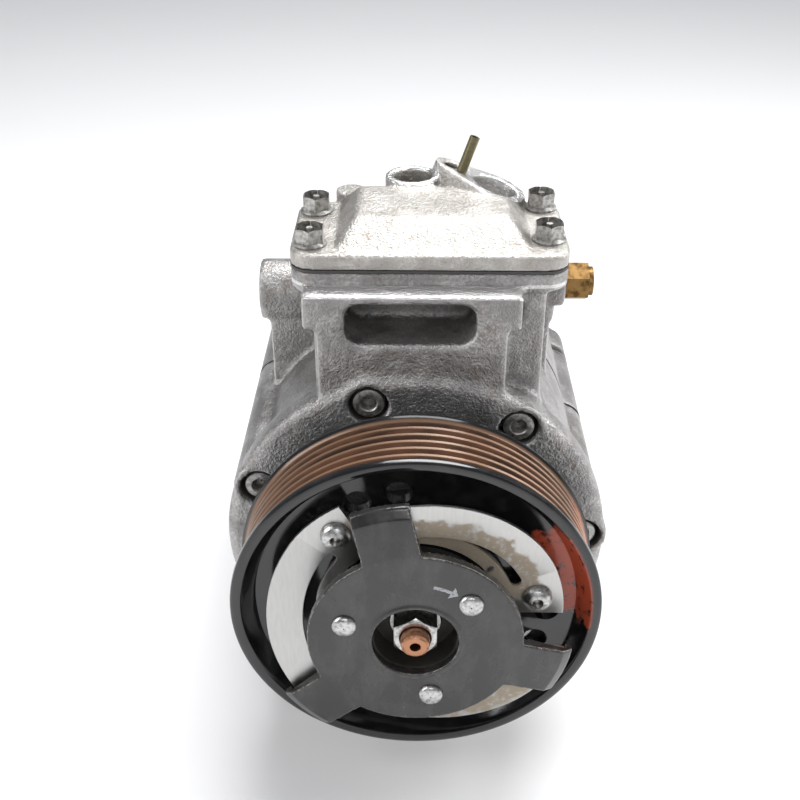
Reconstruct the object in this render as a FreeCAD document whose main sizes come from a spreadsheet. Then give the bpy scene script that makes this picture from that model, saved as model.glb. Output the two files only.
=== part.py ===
# Belt-driven swash-plate compressor for a vehicle's refrigerant circuit.
# Frame: the shaft lies along Y with the pulley facing -Y, +X is the right-hand side seen from
# the pulley, +Z is up, and the origin is on the shaft at the middle of the belt's grooves.
# Millimetres. Every driving size is a cell of the "dims" sheet and the pieces are bound to it.
import FreeCAD, Part
import math
import os
import Sketcher

os.makedirs("parts", exist_ok=True)
doc = FreeCAD.newDocument("compressor")
sheet = doc.addObject("Spreadsheet::Sheet", "dims")


# ---------------------------------------------------------------- sizes

class Size:
    """A number that remembers how it is worked out from the sheet's cells."""

    def __init__(self, number, text=None):
        self.number = float(number)
        self.text = text if text is not None else repr(float(number))
        self.bound = text is not None

    def _join(self, other, number, sign, swap=False):
        other = as_size(other)
        left, right = (other, self) if swap else (self, other)
        result = Size(number(left.number, right.number), f"({left.text} {sign} {right.text})")
        result.bound = left.bound or right.bound
        return result

    def __add__(self, other):
        return self._join(other, lambda a, b: a + b, "+")

    def __radd__(self, other):
        return self._join(other, lambda a, b: a + b, "+", swap=True)

    def __sub__(self, other):
        return self._join(other, lambda a, b: a - b, "-")

    def __rsub__(self, other):
        return self._join(other, lambda a, b: a - b, "-", swap=True)

    def __mul__(self, other):
        return self._join(other, lambda a, b: a * b, "*")

    def __rmul__(self, other):
        return self._join(other, lambda a, b: a * b, "*", swap=True)

    def __truediv__(self, other):
        return self._join(other, lambda a, b: a / b, "/")

    def __neg__(self):
        return 0 - self

    def __float__(self):
        return self.number


def as_size(value):
    return value if isinstance(value, Size) else Size(value)


def cosine(angle):
    angle = as_size(angle)
    result = Size(math.cos(math.radians(angle.number)), f"cos({angle.text})")
    result.bound = angle.bound
    return result


def sine(angle):
    angle = as_size(angle)
    result = Size(math.sin(math.radians(angle.number)), f"sin({angle.text})")
    result.bound = angle.bound
    return result


class Dims:
    """Writes each driving size into a cell of the sheet and keeps it by name."""

    def __init__(self):
        self.row = 1

    def add(self, alias, number, note):
        cell = f"B{self.row}"
        sheet.set(f"A{self.row}", alias)
        sheet.set(cell, repr(float(number)))
        sheet.setAlias(cell, alias)
        sheet.set(f"C{self.row}", note)
        setattr(self, alias, Size(number, f"dims.{alias}"))
        self.row += 1


d = Dims()
for alias, number, note in [
    # clearances
    ("running", 0.04, "radial clearance of a turning or sliding fit"),
    ("loose", 0.3, "radial clearance of a bolt in a through hole"),
    ("gap", 0.6, "air between pieces that pass each other"),
    # pulley
    ("rim_radius", 57.0, "pulley rim, outside"),
    ("rim_front", -13.5, "pulley rim's front plane"),
    ("rim_rear", 12.5, "pulley rim's rear plane"),
    ("rear_rim_drop", 0.5, "how much smaller the rear rim is"),
    ("rib_radius", 55.3, "tips between the belt grooves"),
    ("rib_pitch", 3.56, "belt groove pitch"),
    ("groove_depth", 2.5, "belt groove depth"),
    ("groove_mouth", 2.5, "belt groove width at its mouth"),
    ("groove_floor", 0.6, "belt groove width at its floor"),
    ("rim_edge", 0.8, "rolled edge of the rims"),
    ("bowl_mouth", 53.4, "pulley bowl radius at the front"),
    ("bowl_radius", 50.3, "pulley bowl radius at the web"),
    ("web_front", -6.5, "pulley web's front face"),
    ("web_thick", 4.0, "pulley web thickness"),
    ("web_hole", 4.0, "radius of the web's lightening holes"),
    ("web_hole_ring", 41.3, "radius the web holes stand on"),
    ("web_hole_step", 17.5, "degrees between web holes"),
    ("sleeve_wall", 4.0, "pulley hub sleeve wall"),
    ("lip_height", 1.4, "inward lip that stops the bearing"),
    ("post_radius", 6.2, "screw post on the web"),
    # pulley bearing
    ("race_outer", 25.0, "pulley bearing outside radius"),
    ("race_inner", 17.5, "pulley bearing bore radius"),
    ("race_wall", 2.0, "race wall"),
    ("bearing_front", -8.0, "pulley bearing's front face"),
    ("bearing_width", 20.0, "pulley bearing width"),
    ("ball_radius", 3.2, "bearing ball"),
    ("row_offset", 5.0, "ball row from the bearing's middle"),
    ("seal_thick", 0.8, "bearing seal"),
    # torque limiter
    ("spring_front", -11.6, "spring plate's front face at the screws"),
    ("spring_thick", 1.1, "spring plate thickness"),
    ("arm_outer", 45.4, "spring arm, outside radius"),
    ("arm_inner", 34.3, "spring arm, inside radius"),
    ("ring_outer", 30.7, "spring plate's ring, outside radius"),
    ("ring_inner", 26.3, "spring plate's ring, inside radius"),
    ("screw_ring", 37.5, "radius the limiter screws stand on"),
    ("screw_angle", 9.0, "first limiter screw"),
    ("screw_radius", 2.5, "limiter screw thread"),
    ("screw_head", 4.75, "limiter screw head"),
    ("screw_head_tall", 2.8, "limiter screw head height"),
    ("plate_front", -25.4, "limiter plate's front face"),
    ("plate_thick", 2.4, "limiter plate thickness"),
    ("plate_radius", 32.3, "limiter plate between its lobes"),
    ("lobe_reach", 44.8, "radius where a lobe's end turns back"),
    ("lobe_drop", 1.3, "how far a lobe's end stands behind the plate's face"),
    ("lobe_width", 17.3, "limiter plate lobe width"),
    ("lobe_lip", 4.2, "turned-back end of a lobe, front to back"),
    ("lip_thick", 1.9, "turned-back end of a lobe, thickness"),
    ("lobe_lag", 26.2, "degrees from a screw back to the next lobe"),
    ("cup_radius", 12.9, "opening round the nut"),
    ("rivet_ring", 22.0, "radius the rivets stand on"),
    ("rivet_angle", 42.9, "first rivet"),
    ("rivet_radius", 2.6, "rivet shank"),
    ("rivet_head", 3.75, "rivet head"),
    ("hub_flange", 27.0, "hub flange radius"),
    ("hub_wall", 3.0, "hub flange and cup wall"),
    ("hub_floor", -14.9, "front of the hub's floor"),
    ("hub_boss", 9.5, "hub boss radius"),
    ("hub_rear", -3.0, "rear end of the hub boss"),
    # shaft
    ("stud_radius", 4.0, "threaded front end of the shaft"),
    ("shaft_tip", -27.5, "front end of the shaft"),
    ("spline_radius", 6.0, "splined part of the shaft"),
    ("spline_front", -12.5, "shoulder that the hub seats on"),
    ("seal_land", 8.0, "shaft radius under the seal"),
    ("shaft_radius", 9.0, "shaft radius at the front bearing and swash sleeve"),
    ("lug_seat", 10.0, "shaft radius under the lug plate"),
    ("tail_radius", 8.0, "shaft radius at the rear bearing"),
    ("shaft_tail", 123.6, "rear end of the shaft"),
    ("nut_across", 13.0, "hub nut across flats"),
    ("nut_tall", 7.3, "hub nut height"),
    ("washer_radius", 8.0, "hub washer"),
    ("washer_thick", 1.6, "hub washer thickness"),
    # front housing
    ("nose_front", -10.4, "front end of the nose"),
    ("nose_bore", 13.0, "bore in the nose"),
    ("flange_front", 22.0, "front flange face"),
    ("flange_radius", 62.8, "front flange"),
    ("body_radius", 57.5, "housing barrel"),
    ("chamber_radius", 49.0, "crank chamber"),
    ("chamber_front", 28.0, "front wall of the crank chamber"),
    ("housing_rear", 92.0, "rear face of the front housing"),
    ("bolt_ring", 55.0, "radius the through bolts stand on"),
    ("bolt_angle", 54.4, "first through bolt"),
    ("bolt_radius", 3.0, "through bolt shank"),
    ("bolt_boss", 8.6, "boss round a through bolt"),
    ("bolt_head", 5.0, "through bolt head"),
    ("bolt_head_front", 23.5, "front of the through bolt heads"),
    ("bolt_head_tall", 6.0, "through bolt head height"),
    # crosswise mounting bars
    ("bore_radius", 4.25, "crosswise mounting bores"),
    ("bar_left", -34.5, "front upper bar, left end"),
    ("bar_right", 31.0, "front upper bar, right end"),
    ("bar_front", 23.5, "front upper bar, front face"),
    ("bar_deep", 22.0, "front upper bar, front to back"),
    ("bar_top", 89.5, "front upper bar, top"),
    ("bar_step", 78.5, "height where the bar's ends step in"),
    ("bar_bore_height", 80.3, "front upper bore"),
    ("window_left", -21.9, "window between the ears"),
    ("window_right", 17.5, "window between the ears"),
    ("window_low", 73.7, "window floor"),
    ("window_high", 86.8, "window ceiling"),
    ("ear_place", 81.0, "rear upper bore along the shaft"),
    ("ear_height", 64.5, "rear upper bore"),
    ("ear_radius", 10.5, "rear upper ear"),
    ("ear_left", -54.0, "rear upper ear, left end"),
    ("ear_right", 47.0, "rear upper ear, right end"),
    ("foot_half", 33.0, "half length of the lower bars"),
    ("foot_base", -73.0, "underside of the lower bars"),
    ("foot_bore_height", -64.5, "lower bores"),
    ("front_foot", 38.0, "front lower bore along the shaft"),
    ("rear_foot", 154.0, "rear lower bore along the shaft"),
    ("foot_deep", 16.0, "lower bars, front to back"),
    # muffler and its cover
    ("deck_left", -38.5, "muffler flange, left"),
    ("deck_right", 45.5, "muffler flange, right"),
    ("deck_front", 31.5, "muffler flange, front"),
    ("deck_rear", 75.0, "muffler flange, rear"),
    ("deck_top", 93.5, "joint face under the cover"),
    ("deck_thick", 6.0, "muffler flange thickness"),
    ("deck_corner", 7.0, "muffler flange corner radius"),
    ("cover_gasket_thick", 0.8, "cover gasket"),
    ("cover_plate", 5.0, "cover flange thickness"),
    ("dome_top", 105.5, "top of the cover's dome"),
    ("cover_bolt_left", -32.5, "left cover bolts"),
    ("cover_bolt_right", 39.6, "right cover bolts"),
    ("cover_bolt_front", 40.0, "front left cover bolt"),
    ("cover_bolt_rear", 66.0, "rear left cover bolt"),
    ("cover_bolt_skew", 4.0, "right cover bolts stand this much further back"),
    ("cover_bolt_across", 8.0, "cover bolt across flats"),
    ("cover_bolt_collar", 5.1, "cover bolt collar"),
    ("port_bore", 7.2, "suction port"),
    ("port_boss", 10.8, "suction port boss"),
    ("port_tilt", 19.3, "lean of the suction port face towards +X"),
    ("outlet_bore", 6.3, "discharge port"),
    ("outlet_boss", 9.0, "discharge port boss"),
    ("outlet_top", 107.0, "top of the discharge port"),
    ("outlet_x", -1.8, "discharge port"),
    ("outlet_y", 79.5, "discharge port"),
    ("pin_radius", 1.65, "pipe locating pin"),
    ("pin_stands", 12.0, "pipe locating pin above its face"),
    ("clamp_hole", 2.6, "pipe clamp screw hole"),
    ("port_deep", 8.5, "depth of the suction port"),
    ("outlet_deep", 10.0, "depth of the discharge port"),
    ("port_skirt", 88.0, "underside of the ports behind the muffler's flange"),
    # swash mechanism
    ("lug_front", 31.1, "front of the lug plate"),
    ("lug_thick", 10.0, "lug plate thickness"),
    ("lug_radius", 36.0, "lug plate"),
    ("swash_middle", 60.5, "middle plane of the swash plate"),
    ("swash_thick", 7.0, "swash plate thickness"),
    ("swash_radius", 40.5, "swash plate"),
    ("piston_radius", 11.96, "piston"),
    ("piston_ring", 33.0, "radius the pistons stand on"),
    ("piston_angle", 80.1, "first piston"),
    ("piston_front", 47.5, "front of the pistons"),
    ("piston_rear", 132.6, "crown of the pistons"),
    ("shoe_ball", 8.2, "ball radius of the shoes"),
    ("hinge_height", 14.3, "hinge pin above the shaft"),
    ("hinge_place", 49.0, "hinge pin along the shaft"),
    ("hinge_pin", 2.0, "hinge pin"),
    ("wire", 0.8, "half thickness of the shaft springs' wire"),
    # cylinder block and valve plates
    ("spigot_front", 84.0, "front of the cylinder block"),
    ("block_seam", 0.4, "joint between the castings"),
    ("block_rear", 134.0, "rear face of the cylinder block"),
    ("reed_thick", 0.4, "reed plates"),
    ("valve_plate_thick", 3.5, "valve plate"),
    ("head_gasket_thick", 0.8, "head gasket"),
    ("head_rear", 178.0, "rear face of the rear head"),
    ("bolt_rear", 150.0, "rear end of the through bolts"),
    # valves
    ("relief_x", 46.6, "relief valve seat face"),
    ("relief_y", 52.5, "relief valve"),
    ("relief_z", 81.6, "relief valve"),
    ("relief_across", 11.0, "relief valve across flats"),
    ("control_z", -24.0, "control valve"),
    ("control_bore", 10.0, "control valve bore"),
]:
    d.add(alias, number, note)
doc.recompute()

MOUTH_TO_REAR = FreeCAD.Rotation(FreeCAD.Vector(1, 0, 0), -90)
DIRECTIONS = {
    "X": FreeCAD.Rotation(FreeCAD.Vector(0, 1, 0), 90),
    "Y": MOUTH_TO_REAR,
    "Z": FreeCAD.Rotation(),
}
nodes = []


# ---------------------------------------------------------------- building helpers

def bind(thing, prop, value):
    """Sets a property, and binds it to the sheet where its size comes from there."""
    value = as_size(value)
    if value.bound:
        thing.setExpression(prop, value.text)
    elif not prop.startswith("Placement"):
        setattr(thing, prop, value.number)


def place(thing, start, rotation=None):
    start = [as_size(part) for part in start]
    base = FreeCAD.Vector(*[part.number for part in start])
    thing.Placement = FreeCAD.Placement(base, rotation or FreeCAD.Rotation())
    for letter, part in zip("xyz", start):
        bind(thing, f"Placement.Base.{letter}", part)
    return thing


def rod(label, radius, length, start, along="Y", rotation=None):
    """A cylinder that starts at a point and runs along an axis."""
    thing = doc.addObject("Part::Cylinder", label)
    bind(thing, "Radius", radius)
    bind(thing, "Height", length)
    return place(thing, start, rotation or DIRECTIONS[along])


def sector(label, radius, length, first, sweep, start):
    """A slice of a disc about the Y axis, from one angle round to another, anticlockwise
    as seen from the pulley side."""
    thing = doc.addObject("Part::Cylinder", label)
    bind(thing, "Radius", radius)
    bind(thing, "Height", length)
    bind(thing, "Angle", sweep)
    turn = FreeCAD.Rotation(FreeCAD.Vector(0, 0, 1), -float(first) - float(sweep))
    return place(thing, start, MOUTH_TO_REAR.multiply(turn))


def ball(label, radius, centre):
    thing = doc.addObject("Part::Sphere", label)
    bind(thing, "Radius", radius)
    return place(thing, centre)


def ring(label, middle, section, centre, along="Y"):
    """A torus about an axis."""
    thing = doc.addObject("Part::Torus", label)
    bind(thing, "Radius1", middle)
    bind(thing, "Radius2", section)
    return place(thing, centre, DIRECTIONS[along])


def block(label, low, high, rotation=None):
    thing = doc.addObject("Part::Box", label)
    for prop, a, b in zip(("Length", "Width", "Height"), low, high):
        bind(thing, prop, as_size(b) - a)
    return place(thing, low, rotation)


def hexagon(label, across, length, start, along="Y"):
    thing = doc.addObject("Part::Prism", label)
    thing.Polygon = 6
    bind(thing, "Circumradius", as_size(across) / math.sqrt(3))
    bind(thing, "Height", length)
    return place(thing, start, DIRECTIONS[along])


def cone(label, first, last, length, start, along="Y"):
    thing = doc.addObject("Part::Cone", label)
    bind(thing, "Radius1", first)
    bind(thing, "Radius2", last)
    bind(thing, "Height", length)
    return place(thing, start, DIRECTIONS[along])


def fuse(label, things):
    things = list(things)
    if len(things) == 1:
        return things[0]
    whole = doc.addObject("Part::MultiFuse", label)
    whole.Shapes = things
    whole.Refine = True
    return whole


def group(label, things):
    """Several separate solids that share one node."""
    whole = doc.addObject("Part::Compound", label)
    whole.Links = list(things)
    return whole


def cut(label, base, tools):
    whole = doc.addObject("Part::Cut", label)
    whole.Base = base
    whole.Tool = fuse(f"{label}_tools", tools)
    return whole


def common(label, first, second):
    whole = doc.addObject("Part::Common", label)
    whole.Base = first
    whole.Tool = second
    return whole


def outline(body, plane, points):
    """A closed sketch of straight lines whose corners are all placed from the sheet."""
    sketch = body.newObject("Sketcher::SketchObject", f"{body.Name}_outline")
    origin = next(item for item in body.Origin.OriginFeatures if item.Role == plane)
    sketch.AttachmentSupport = [(origin, "")]
    sketch.MapMode = "FlatFace"
    points = [(as_size(a), as_size(b)) for a, b in points]
    corners = [FreeCAD.Vector(a.number, b.number, 0) for a, b in points]
    for index, corner in enumerate(corners):
        sketch.addGeometry(Part.LineSegment(corner, corners[(index + 1) % len(corners)]))
    for index in range(len(corners)):
        following = (index + 1) % len(corners)
        sketch.addConstraint(Sketcher.Constraint("Coincident", index, 2, following, 1))
    for index, pair in enumerate(points):
        for kind, part in zip(("DistanceX", "DistanceY"), pair):
            rule = Sketcher.Constraint(kind, -1, 1, index, 1, part.number)
            number = sketch.addConstraint(rule)
            if part.bound:
                sketch.setExpression(f"Constraints[{number}]", part.text)
    return sketch


def turned(label, points):
    """A body of revolution about the shaft axis, from (radius, place along Y) corners."""
    body = doc.addObject("PartDesign::Body", label)
    sketch = outline(body, "XY_Plane", points)
    feature = body.newObject("PartDesign::Revolution", f"{label}_turn")
    feature.Profile = sketch
    feature.ReferenceAxis = (sketch, ["V_Axis"])
    feature.Angle = 360
    return body


def tube(label, inner, outer, front, rear):
    """A plain ring about the shaft axis."""
    return turned(label, [(inner, front), (outer, front), (outer, rear), (inner, rear)])


def padded(label, plane, points, length, start=(0, 0, 0), rotation=None):
    """A straight-sided body, from an outline drawn on one of its origin planes."""
    body = doc.addObject("PartDesign::Body", label)
    sketch = outline(body, plane, points)
    feature = body.newObject("PartDesign::Pad", f"{label}_pad")
    feature.Profile = sketch
    bind(feature, "Length", length)
    return place(body, start, rotation)


def coil(label, middle, wire, pitch, turns, start, along="Y"):
    """A wound spring of round wire, swept one turn to a face."""
    helix = doc.addObject("Part::Helix", f"{label}_line")
    bind(helix, "Pitch", pitch)
    bind(helix, "Height", as_size(pitch) * turns)
    bind(helix, "Radius", middle)
    helix.SegmentLength = 1
    circle = doc.addObject("Part::Circle", f"{label}_wire")
    bind(circle, "Radius", wire)
    place(circle, (middle, 0, 0), FreeCAD.Rotation(FreeCAD.Vector(1, 0, 0), 90))
    sweep = doc.addObject("Part::Sweep", f"{label}_coil")
    sweep.Sections = [circle]
    sweep.Spine = (helix, [f"Edge{turn + 1}" for turn in range(turns)])
    sweep.Solid = True
    sweep.Frenet = True
    return place(sweep, start, DIRECTIONS[along])


def node(thing, label):
    """Marks a finished piece and gives it the name of its file."""
    thing.Label = label
    nodes.append(thing)
    return thing


def around(count, first, radius):
    """Places on a circle about the shaft axis, with their angles."""
    for index in range(count):
        angle = first + index * 360.0 / count
        yield index, angle, radius * cosine(angle), radius * sine(angle)


# ---------------------------------------------------------------- pulley

WEB_HOLES = 2
WEB_HOLE_LAG = 88.1
RIBS = 6
web_rear = d.web_front + d.web_thick
groove_span = d.rib_pitch * RIBS / 2
sleeve_radius = d.race_outer + d.sleeve_wall
bearing_rear = d.bearing_front + d.bearing_width
bearing_middle = d.bearing_front + d.bearing_width / 2


def pulley_points():
    points = [
        (d.bowl_mouth, d.rim_front),
        (d.rim_radius - d.rim_edge, d.rim_front),
        (d.rim_radius, d.rim_front + d.rim_edge),
        (d.rim_radius, -groove_span - d.rim_edge),
        (d.rib_radius, -groove_span),
    ]
    for rib in range(RIBS):
        middle = d.rib_pitch * (rib - (RIBS - 1) / 2)
        root = d.rib_radius - d.groove_depth
        points += [
            (d.rib_radius, middle - d.groove_mouth / 2),
            (root, middle - d.groove_floor / 2),
            (root, middle + d.groove_floor / 2),
            (d.rib_radius, middle + d.groove_mouth / 2),
        ]
    rear_rim = d.rim_radius - d.rear_rim_drop
    points += [
        (d.rib_radius, groove_span),
        (rear_rim, groove_span + d.rim_edge / 2),
        (rear_rim, d.rim_rear),
        (d.bowl_radius, d.rim_rear),
        (d.bowl_radius, web_rear),
        (sleeve_radius, web_rear),
        (sleeve_radius, bearing_rear),
        (d.race_outer, bearing_rear),
        (d.race_outer, d.bearing_front),
        (d.race_outer - d.lip_height, d.bearing_front),
        (d.race_outer - d.lip_height, d.bearing_front - d.lip_height),
        (sleeve_radius, d.bearing_front - d.lip_height),
        (sleeve_radius, d.web_front),
        (d.bowl_radius, d.web_front),
    ]
    return points


spring_rear = d.spring_front + d.spring_thick
posts = []
post_holes = []
web_holes = []
for index, angle, x, z in around(3, d.screw_angle, d.screw_ring):
    posts.append(rod(f"post_{index}", d.post_radius, web_rear - spring_rear, (x, spring_rear, z)))
    depth = web_rear - spring_rear
    post_holes.append(rod(f"post_hole_{index}", d.screw_radius, depth, (x, spring_rear, z)))
    for hole in range(WEB_HOLES):
        turn = angle + WEB_HOLE_LAG + d.web_hole_step * hole
        web_holes.append(rod(f"web_hole_{index}_{hole}", d.web_hole, d.web_thick,
                             (d.web_hole_ring * cosine(turn), d.web_front,
                              d.web_hole_ring * sine(turn))))
pulley_blank = fuse("pulley_blank", [turned("pulley_turned", pulley_points())] + posts)
node(cut("pulley_cut", pulley_blank, post_holes + web_holes), "pulley")

# ---------------------------------------------------------------- pulley bearing

BALLS = 12
outer_inside = d.race_outer - d.race_wall
inner_outside = d.race_inner + d.race_wall
ball_ring = (d.race_outer + d.race_inner) / 2
rows = (bearing_middle - d.row_offset, bearing_middle + d.row_offset)
groove_radius = d.ball_radius + d.running


def race(label, inside, outside):
    blank = tube(f"{label}_blank", inside, outside, d.bearing_front, bearing_rear)
    tracks = [ring(f"{label}_track_{index}", ball_ring, groove_radius, (0, row, 0))
              for index, row in enumerate(rows)]
    return node(cut(f"{label}_cut", blank, tracks), label)


race("pulley_outer_race", outer_inside, d.race_outer)
race("pulley_inner_race", d.race_inner, inner_outside)
POCKET_START = 0.8
POCKET_REACH = 10.0
balls = []
pockets = []
for line, row in enumerate(rows):
    for index, angle, x, z in around(BALLS, as_size(line * 15.0), ball_ring):
        balls.append(ball(f"ball_{line}_{index}", d.ball_radius, (x, row, z)))
        outwards = FreeCAD.Rotation(FreeCAD.Vector(0, 1, 0), 90 - float(angle))
        pockets.append(rod(f"pocket_{line}_{index}", d.ball_radius + d.running, POCKET_REACH,
                           (x * POCKET_START, row, z * POCKET_START), rotation=outwards))
node(group("ball_group", balls), "pulley_bearing_balls")
cage_inner = inner_outside + d.gap
cage_outer = outer_inside - d.gap
cage_blank = tube("cage_blank", cage_inner, cage_outer,
                  d.bearing_front + d.seal_thick + d.gap, bearing_rear - d.seal_thick - d.gap)
node(cut("cage_cut", cage_blank, pockets), "pulley_bearing_cage")
seals = []
for label, start in (("front", d.bearing_front), ("rear", bearing_rear - d.seal_thick)):
    seals.append(tube(f"seal_{label}", inner_outside + d.running, outer_inside,
                      start, start + d.seal_thick))
node(group("bearing_seal_group", seals), "pulley_bearing_seals")

SNAP = 1.3
SNAP_DEPTH = 1.2
snap_front = d.bearing_front - SNAP
nose_ring = tube("nose_ring", d.race_inner - SNAP_DEPTH, d.race_inner + SNAP_DEPTH,
                 snap_front, d.bearing_front)

# ---------------------------------------------------------------- torque limiter

ARM_BEFORE = 9.4
ARM_START = 12.0
ARM_END = 104.0
SLOT_END = 12.5
SLOT_RADIUS = 1.75
LIP = 0.5
TOUCH = 0.02
plate_rear = d.plate_front + d.plate_thick
lobe_rear = plate_rear + d.lobe_drop
arm_rise = d.spring_front - lobe_rear - TOUCH


def rising_arm(label, last):
    """A leaf that climbs from the spring plate's ring to the back of a lobe."""
    helix = doc.addObject("Part::Helix", f"{label}_line")
    bind(helix, "Pitch", arm_rise * 360.0 / (ARM_END - ARM_START))
    bind(helix, "Height", arm_rise)
    bind(helix, "Radius", d.arm_outer)
    helix.SegmentLength = 1
    section = doc.addObject("Part::Plane", f"{label}_section")
    bind(section, "Length", d.arm_outer - d.arm_inner)
    bind(section, "Width", d.spring_thick)
    place(section, (d.arm_inner, 0, 0), FreeCAD.Rotation(FreeCAD.Vector(1, 0, 0), 90))
    sweep = doc.addObject("Part::Sweep", f"{label}_leaf")
    sweep.Sections = [section]
    sweep.Spine = (helix, ["Edge1"])
    sweep.Solid = True
    sweep.Frenet = True
    turn = FreeCAD.Rotation(FreeCAD.Vector(0, 0, 1), -last)
    return place(sweep, (0, lobe_rear + TOUCH, 0), MOUTH_TO_REAR.multiply(turn))


spring_parts = [rod("spring_ring", d.ring_outer, d.spring_thick, (0, d.spring_front, 0))]
spring_cuts = [rod("spring_middle", d.ring_inner, d.spring_thick, (0, d.spring_front, 0))]
slot_ring = (d.arm_inner + d.ring_outer) / 2
for index, angle, x, z in around(3, d.screw_angle, d.screw_ring):
    start = (0, d.spring_front, 0)
    screw_at = float(angle)
    first = screw_at - ARM_BEFORE
    spring_parts.append(rising_arm(f"arm_{index}", screw_at + ARM_END))
    root = sector(f"root_{index}", d.arm_outer, d.spring_thick, first,
                  ARM_BEFORE + ARM_START + 1, start)
    inside = rod(f"root_hollow_{index}", (d.ring_inner + d.ring_outer) / 2, d.spring_thick, start)
    spring_parts.append(cut(f"root_cut_{index}", root, [inside]))
    turn = angle + SLOT_END
    spring_cuts.append(rod(f"slot_end_{index}", SLOT_RADIUS, d.spring_thick,
                           (slot_ring * cosine(turn), d.spring_front, slot_ring * sine(turn))))
    spring_cuts.append(rod(f"spring_hole_{index}", d.screw_radius + d.loose / 3, d.spring_thick,
                           (x, d.spring_front, z)))
node(cut("spring_cut", fuse("spring_blank", spring_parts), spring_cuts), "leaf_spring_plate")

lobe_front = d.plate_front + d.lobe_drop
lip_outside = d.lobe_reach + d.lip_thick + 1
lip_rear = lobe_front + d.lobe_lip
dish = turned("plate_dish", [
    (d.cup_radius, d.plate_front - LIP),
    (d.cup_radius + 2 * LIP, d.plate_front - LIP),
    (d.cup_radius + 4 * LIP, d.plate_front),
    (d.plate_radius, d.plate_front),
    (d.lobe_reach, lobe_front),
    (lip_outside, lobe_front + d.lip_thick),
    (lip_outside, lip_rear),
    (lip_outside - d.lip_thick, lip_rear),
    (lip_outside - d.lip_thick, lobe_rear),
    (d.arm_inner, lobe_rear),
    (d.plate_radius - 2, plate_rear),
    (d.cup_radius, plate_rear),
])
stamp_start = d.plate_front - 2 * LIP
stamp_deep = lip_rear - stamp_start
stamp_parts = [rod("stamp_disc", d.plate_radius, stamp_deep, (0, stamp_start, 0))]
for index in range(3):
    angle = float(d.screw_angle) - float(d.lobe_lag) + 120.0 * (index + 1)
    lobe = block(f"stamp_lobe_{index}", (0, 0, 0), (lip_outside + 1, stamp_deep, d.lobe_width))
    turn = FreeCAD.Rotation(FreeCAD.Vector(0, 1, 0), -angle)
    half = d.lobe_width / 2
    place(lobe, (half * sine(angle), stamp_start, -half * cosine(angle)), turn)
    stamp_parts.append(lobe)
stamp = fuse("stamp", stamp_parts)
rivet_holes = [rod(f"plate_rivet_hole_{index}", d.rivet_radius, 2 * d.plate_thick,
                   (x, d.plate_front - LIP, z))
               for index, angle, x, z in around(3, d.rivet_angle, d.rivet_ring)]
node(cut("plate_cut", common("plate_stamped", dish, stamp), rivet_holes), "limiter_plate")

flange_rear = plate_rear + d.hub_wall
hub_cup_radius = d.cup_radius + d.hub_wall - 0.3
hub_floor_rear = d.hub_floor + d.hub_wall + 0.3
hub_blank = turned("hub_blank", [
    (d.cup_radius - 0.3, plate_rear),
    (d.hub_flange, plate_rear),
    (d.hub_flange, flange_rear),
    (hub_cup_radius, flange_rear),
    (hub_cup_radius, hub_floor_rear),
    (d.hub_boss, hub_floor_rear),
    (d.hub_boss, d.hub_rear),
    (d.spline_radius, d.hub_rear),
    (d.spline_radius, d.spline_front),
    (d.stud_radius + 0.05, d.spline_front),
    (d.stud_radius + 0.05, d.hub_floor),
    (d.cup_radius - 0.3, d.hub_floor),
])
hub_holes = [rod(f"hub_rivet_hole_{index}", d.rivet_radius, d.hub_wall, (x, plate_rear, z))
             for index, angle, x, z in around(3, d.rivet_angle, d.rivet_ring)]
node(cut("hub_cut", hub_blank, hub_holes), "hub")

RIVET_HEAD_TALL = 1.2
rivets = []
for index, angle, x, z in around(3, d.rivet_angle, d.rivet_ring):
    shank = rod(f"rivet_shank_{index}", d.rivet_radius, d.plate_thick + d.hub_wall,
                (x, d.plate_front, z))
    head = cone(f"rivet_head_{index}", d.rivet_head - 0.8, d.rivet_head, RIVET_HEAD_TALL,
                (x, d.plate_front - RIVET_HEAD_TALL, z))
    tail = cone(f"rivet_tail_{index}", d.rivet_head, d.rivet_head - 0.8, RIVET_HEAD_TALL,
                (x, flange_rear, z))
    rivets.append(fuse(f"rivet_{index}", [shank, head, tail]))
node(group("rivet_group", rivets), "hub_rivets")

SCREW_LONG = 11.0
screws = []
for index, angle, x, z in around(3, d.screw_angle, d.screw_ring):
    shank = rod(f"screw_shank_{index}", d.screw_radius, SCREW_LONG, (x, d.spring_front, z))
    head = cone(f"screw_head_{index}", d.screw_head * 0.62, d.screw_head, d.screw_head_tall,
                (x, d.spring_front - d.screw_head_tall, z))
    socket = hexagon(f"screw_socket_{index}", 4.0, d.screw_head_tall * 0.7,
                     (x, d.spring_front - d.screw_head_tall, z))
    screws.append(cut(f"screw_{index}", fuse(f"screw_blank_{index}", [shank, head]), [socket]))
node(group("screw_group", screws), "spring_screws")

washer_front = d.hub_floor - d.washer_thick
node(tube("washer", d.stud_radius + 0.2, d.washer_radius, washer_front, d.hub_floor),
     "hub_washer")
nut_blank = hexagon("nut_blank", d.nut_across, d.nut_tall, (0, washer_front - d.nut_tall, 0))
nut_hole = rod("nut_hole", d.stud_radius, d.nut_tall, (0, washer_front - d.nut_tall, 0))
node(cut("nut_cut", nut_blank, [nut_hole]), "hub_nut")

# ---------------------------------------------------------------- shaft

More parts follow.
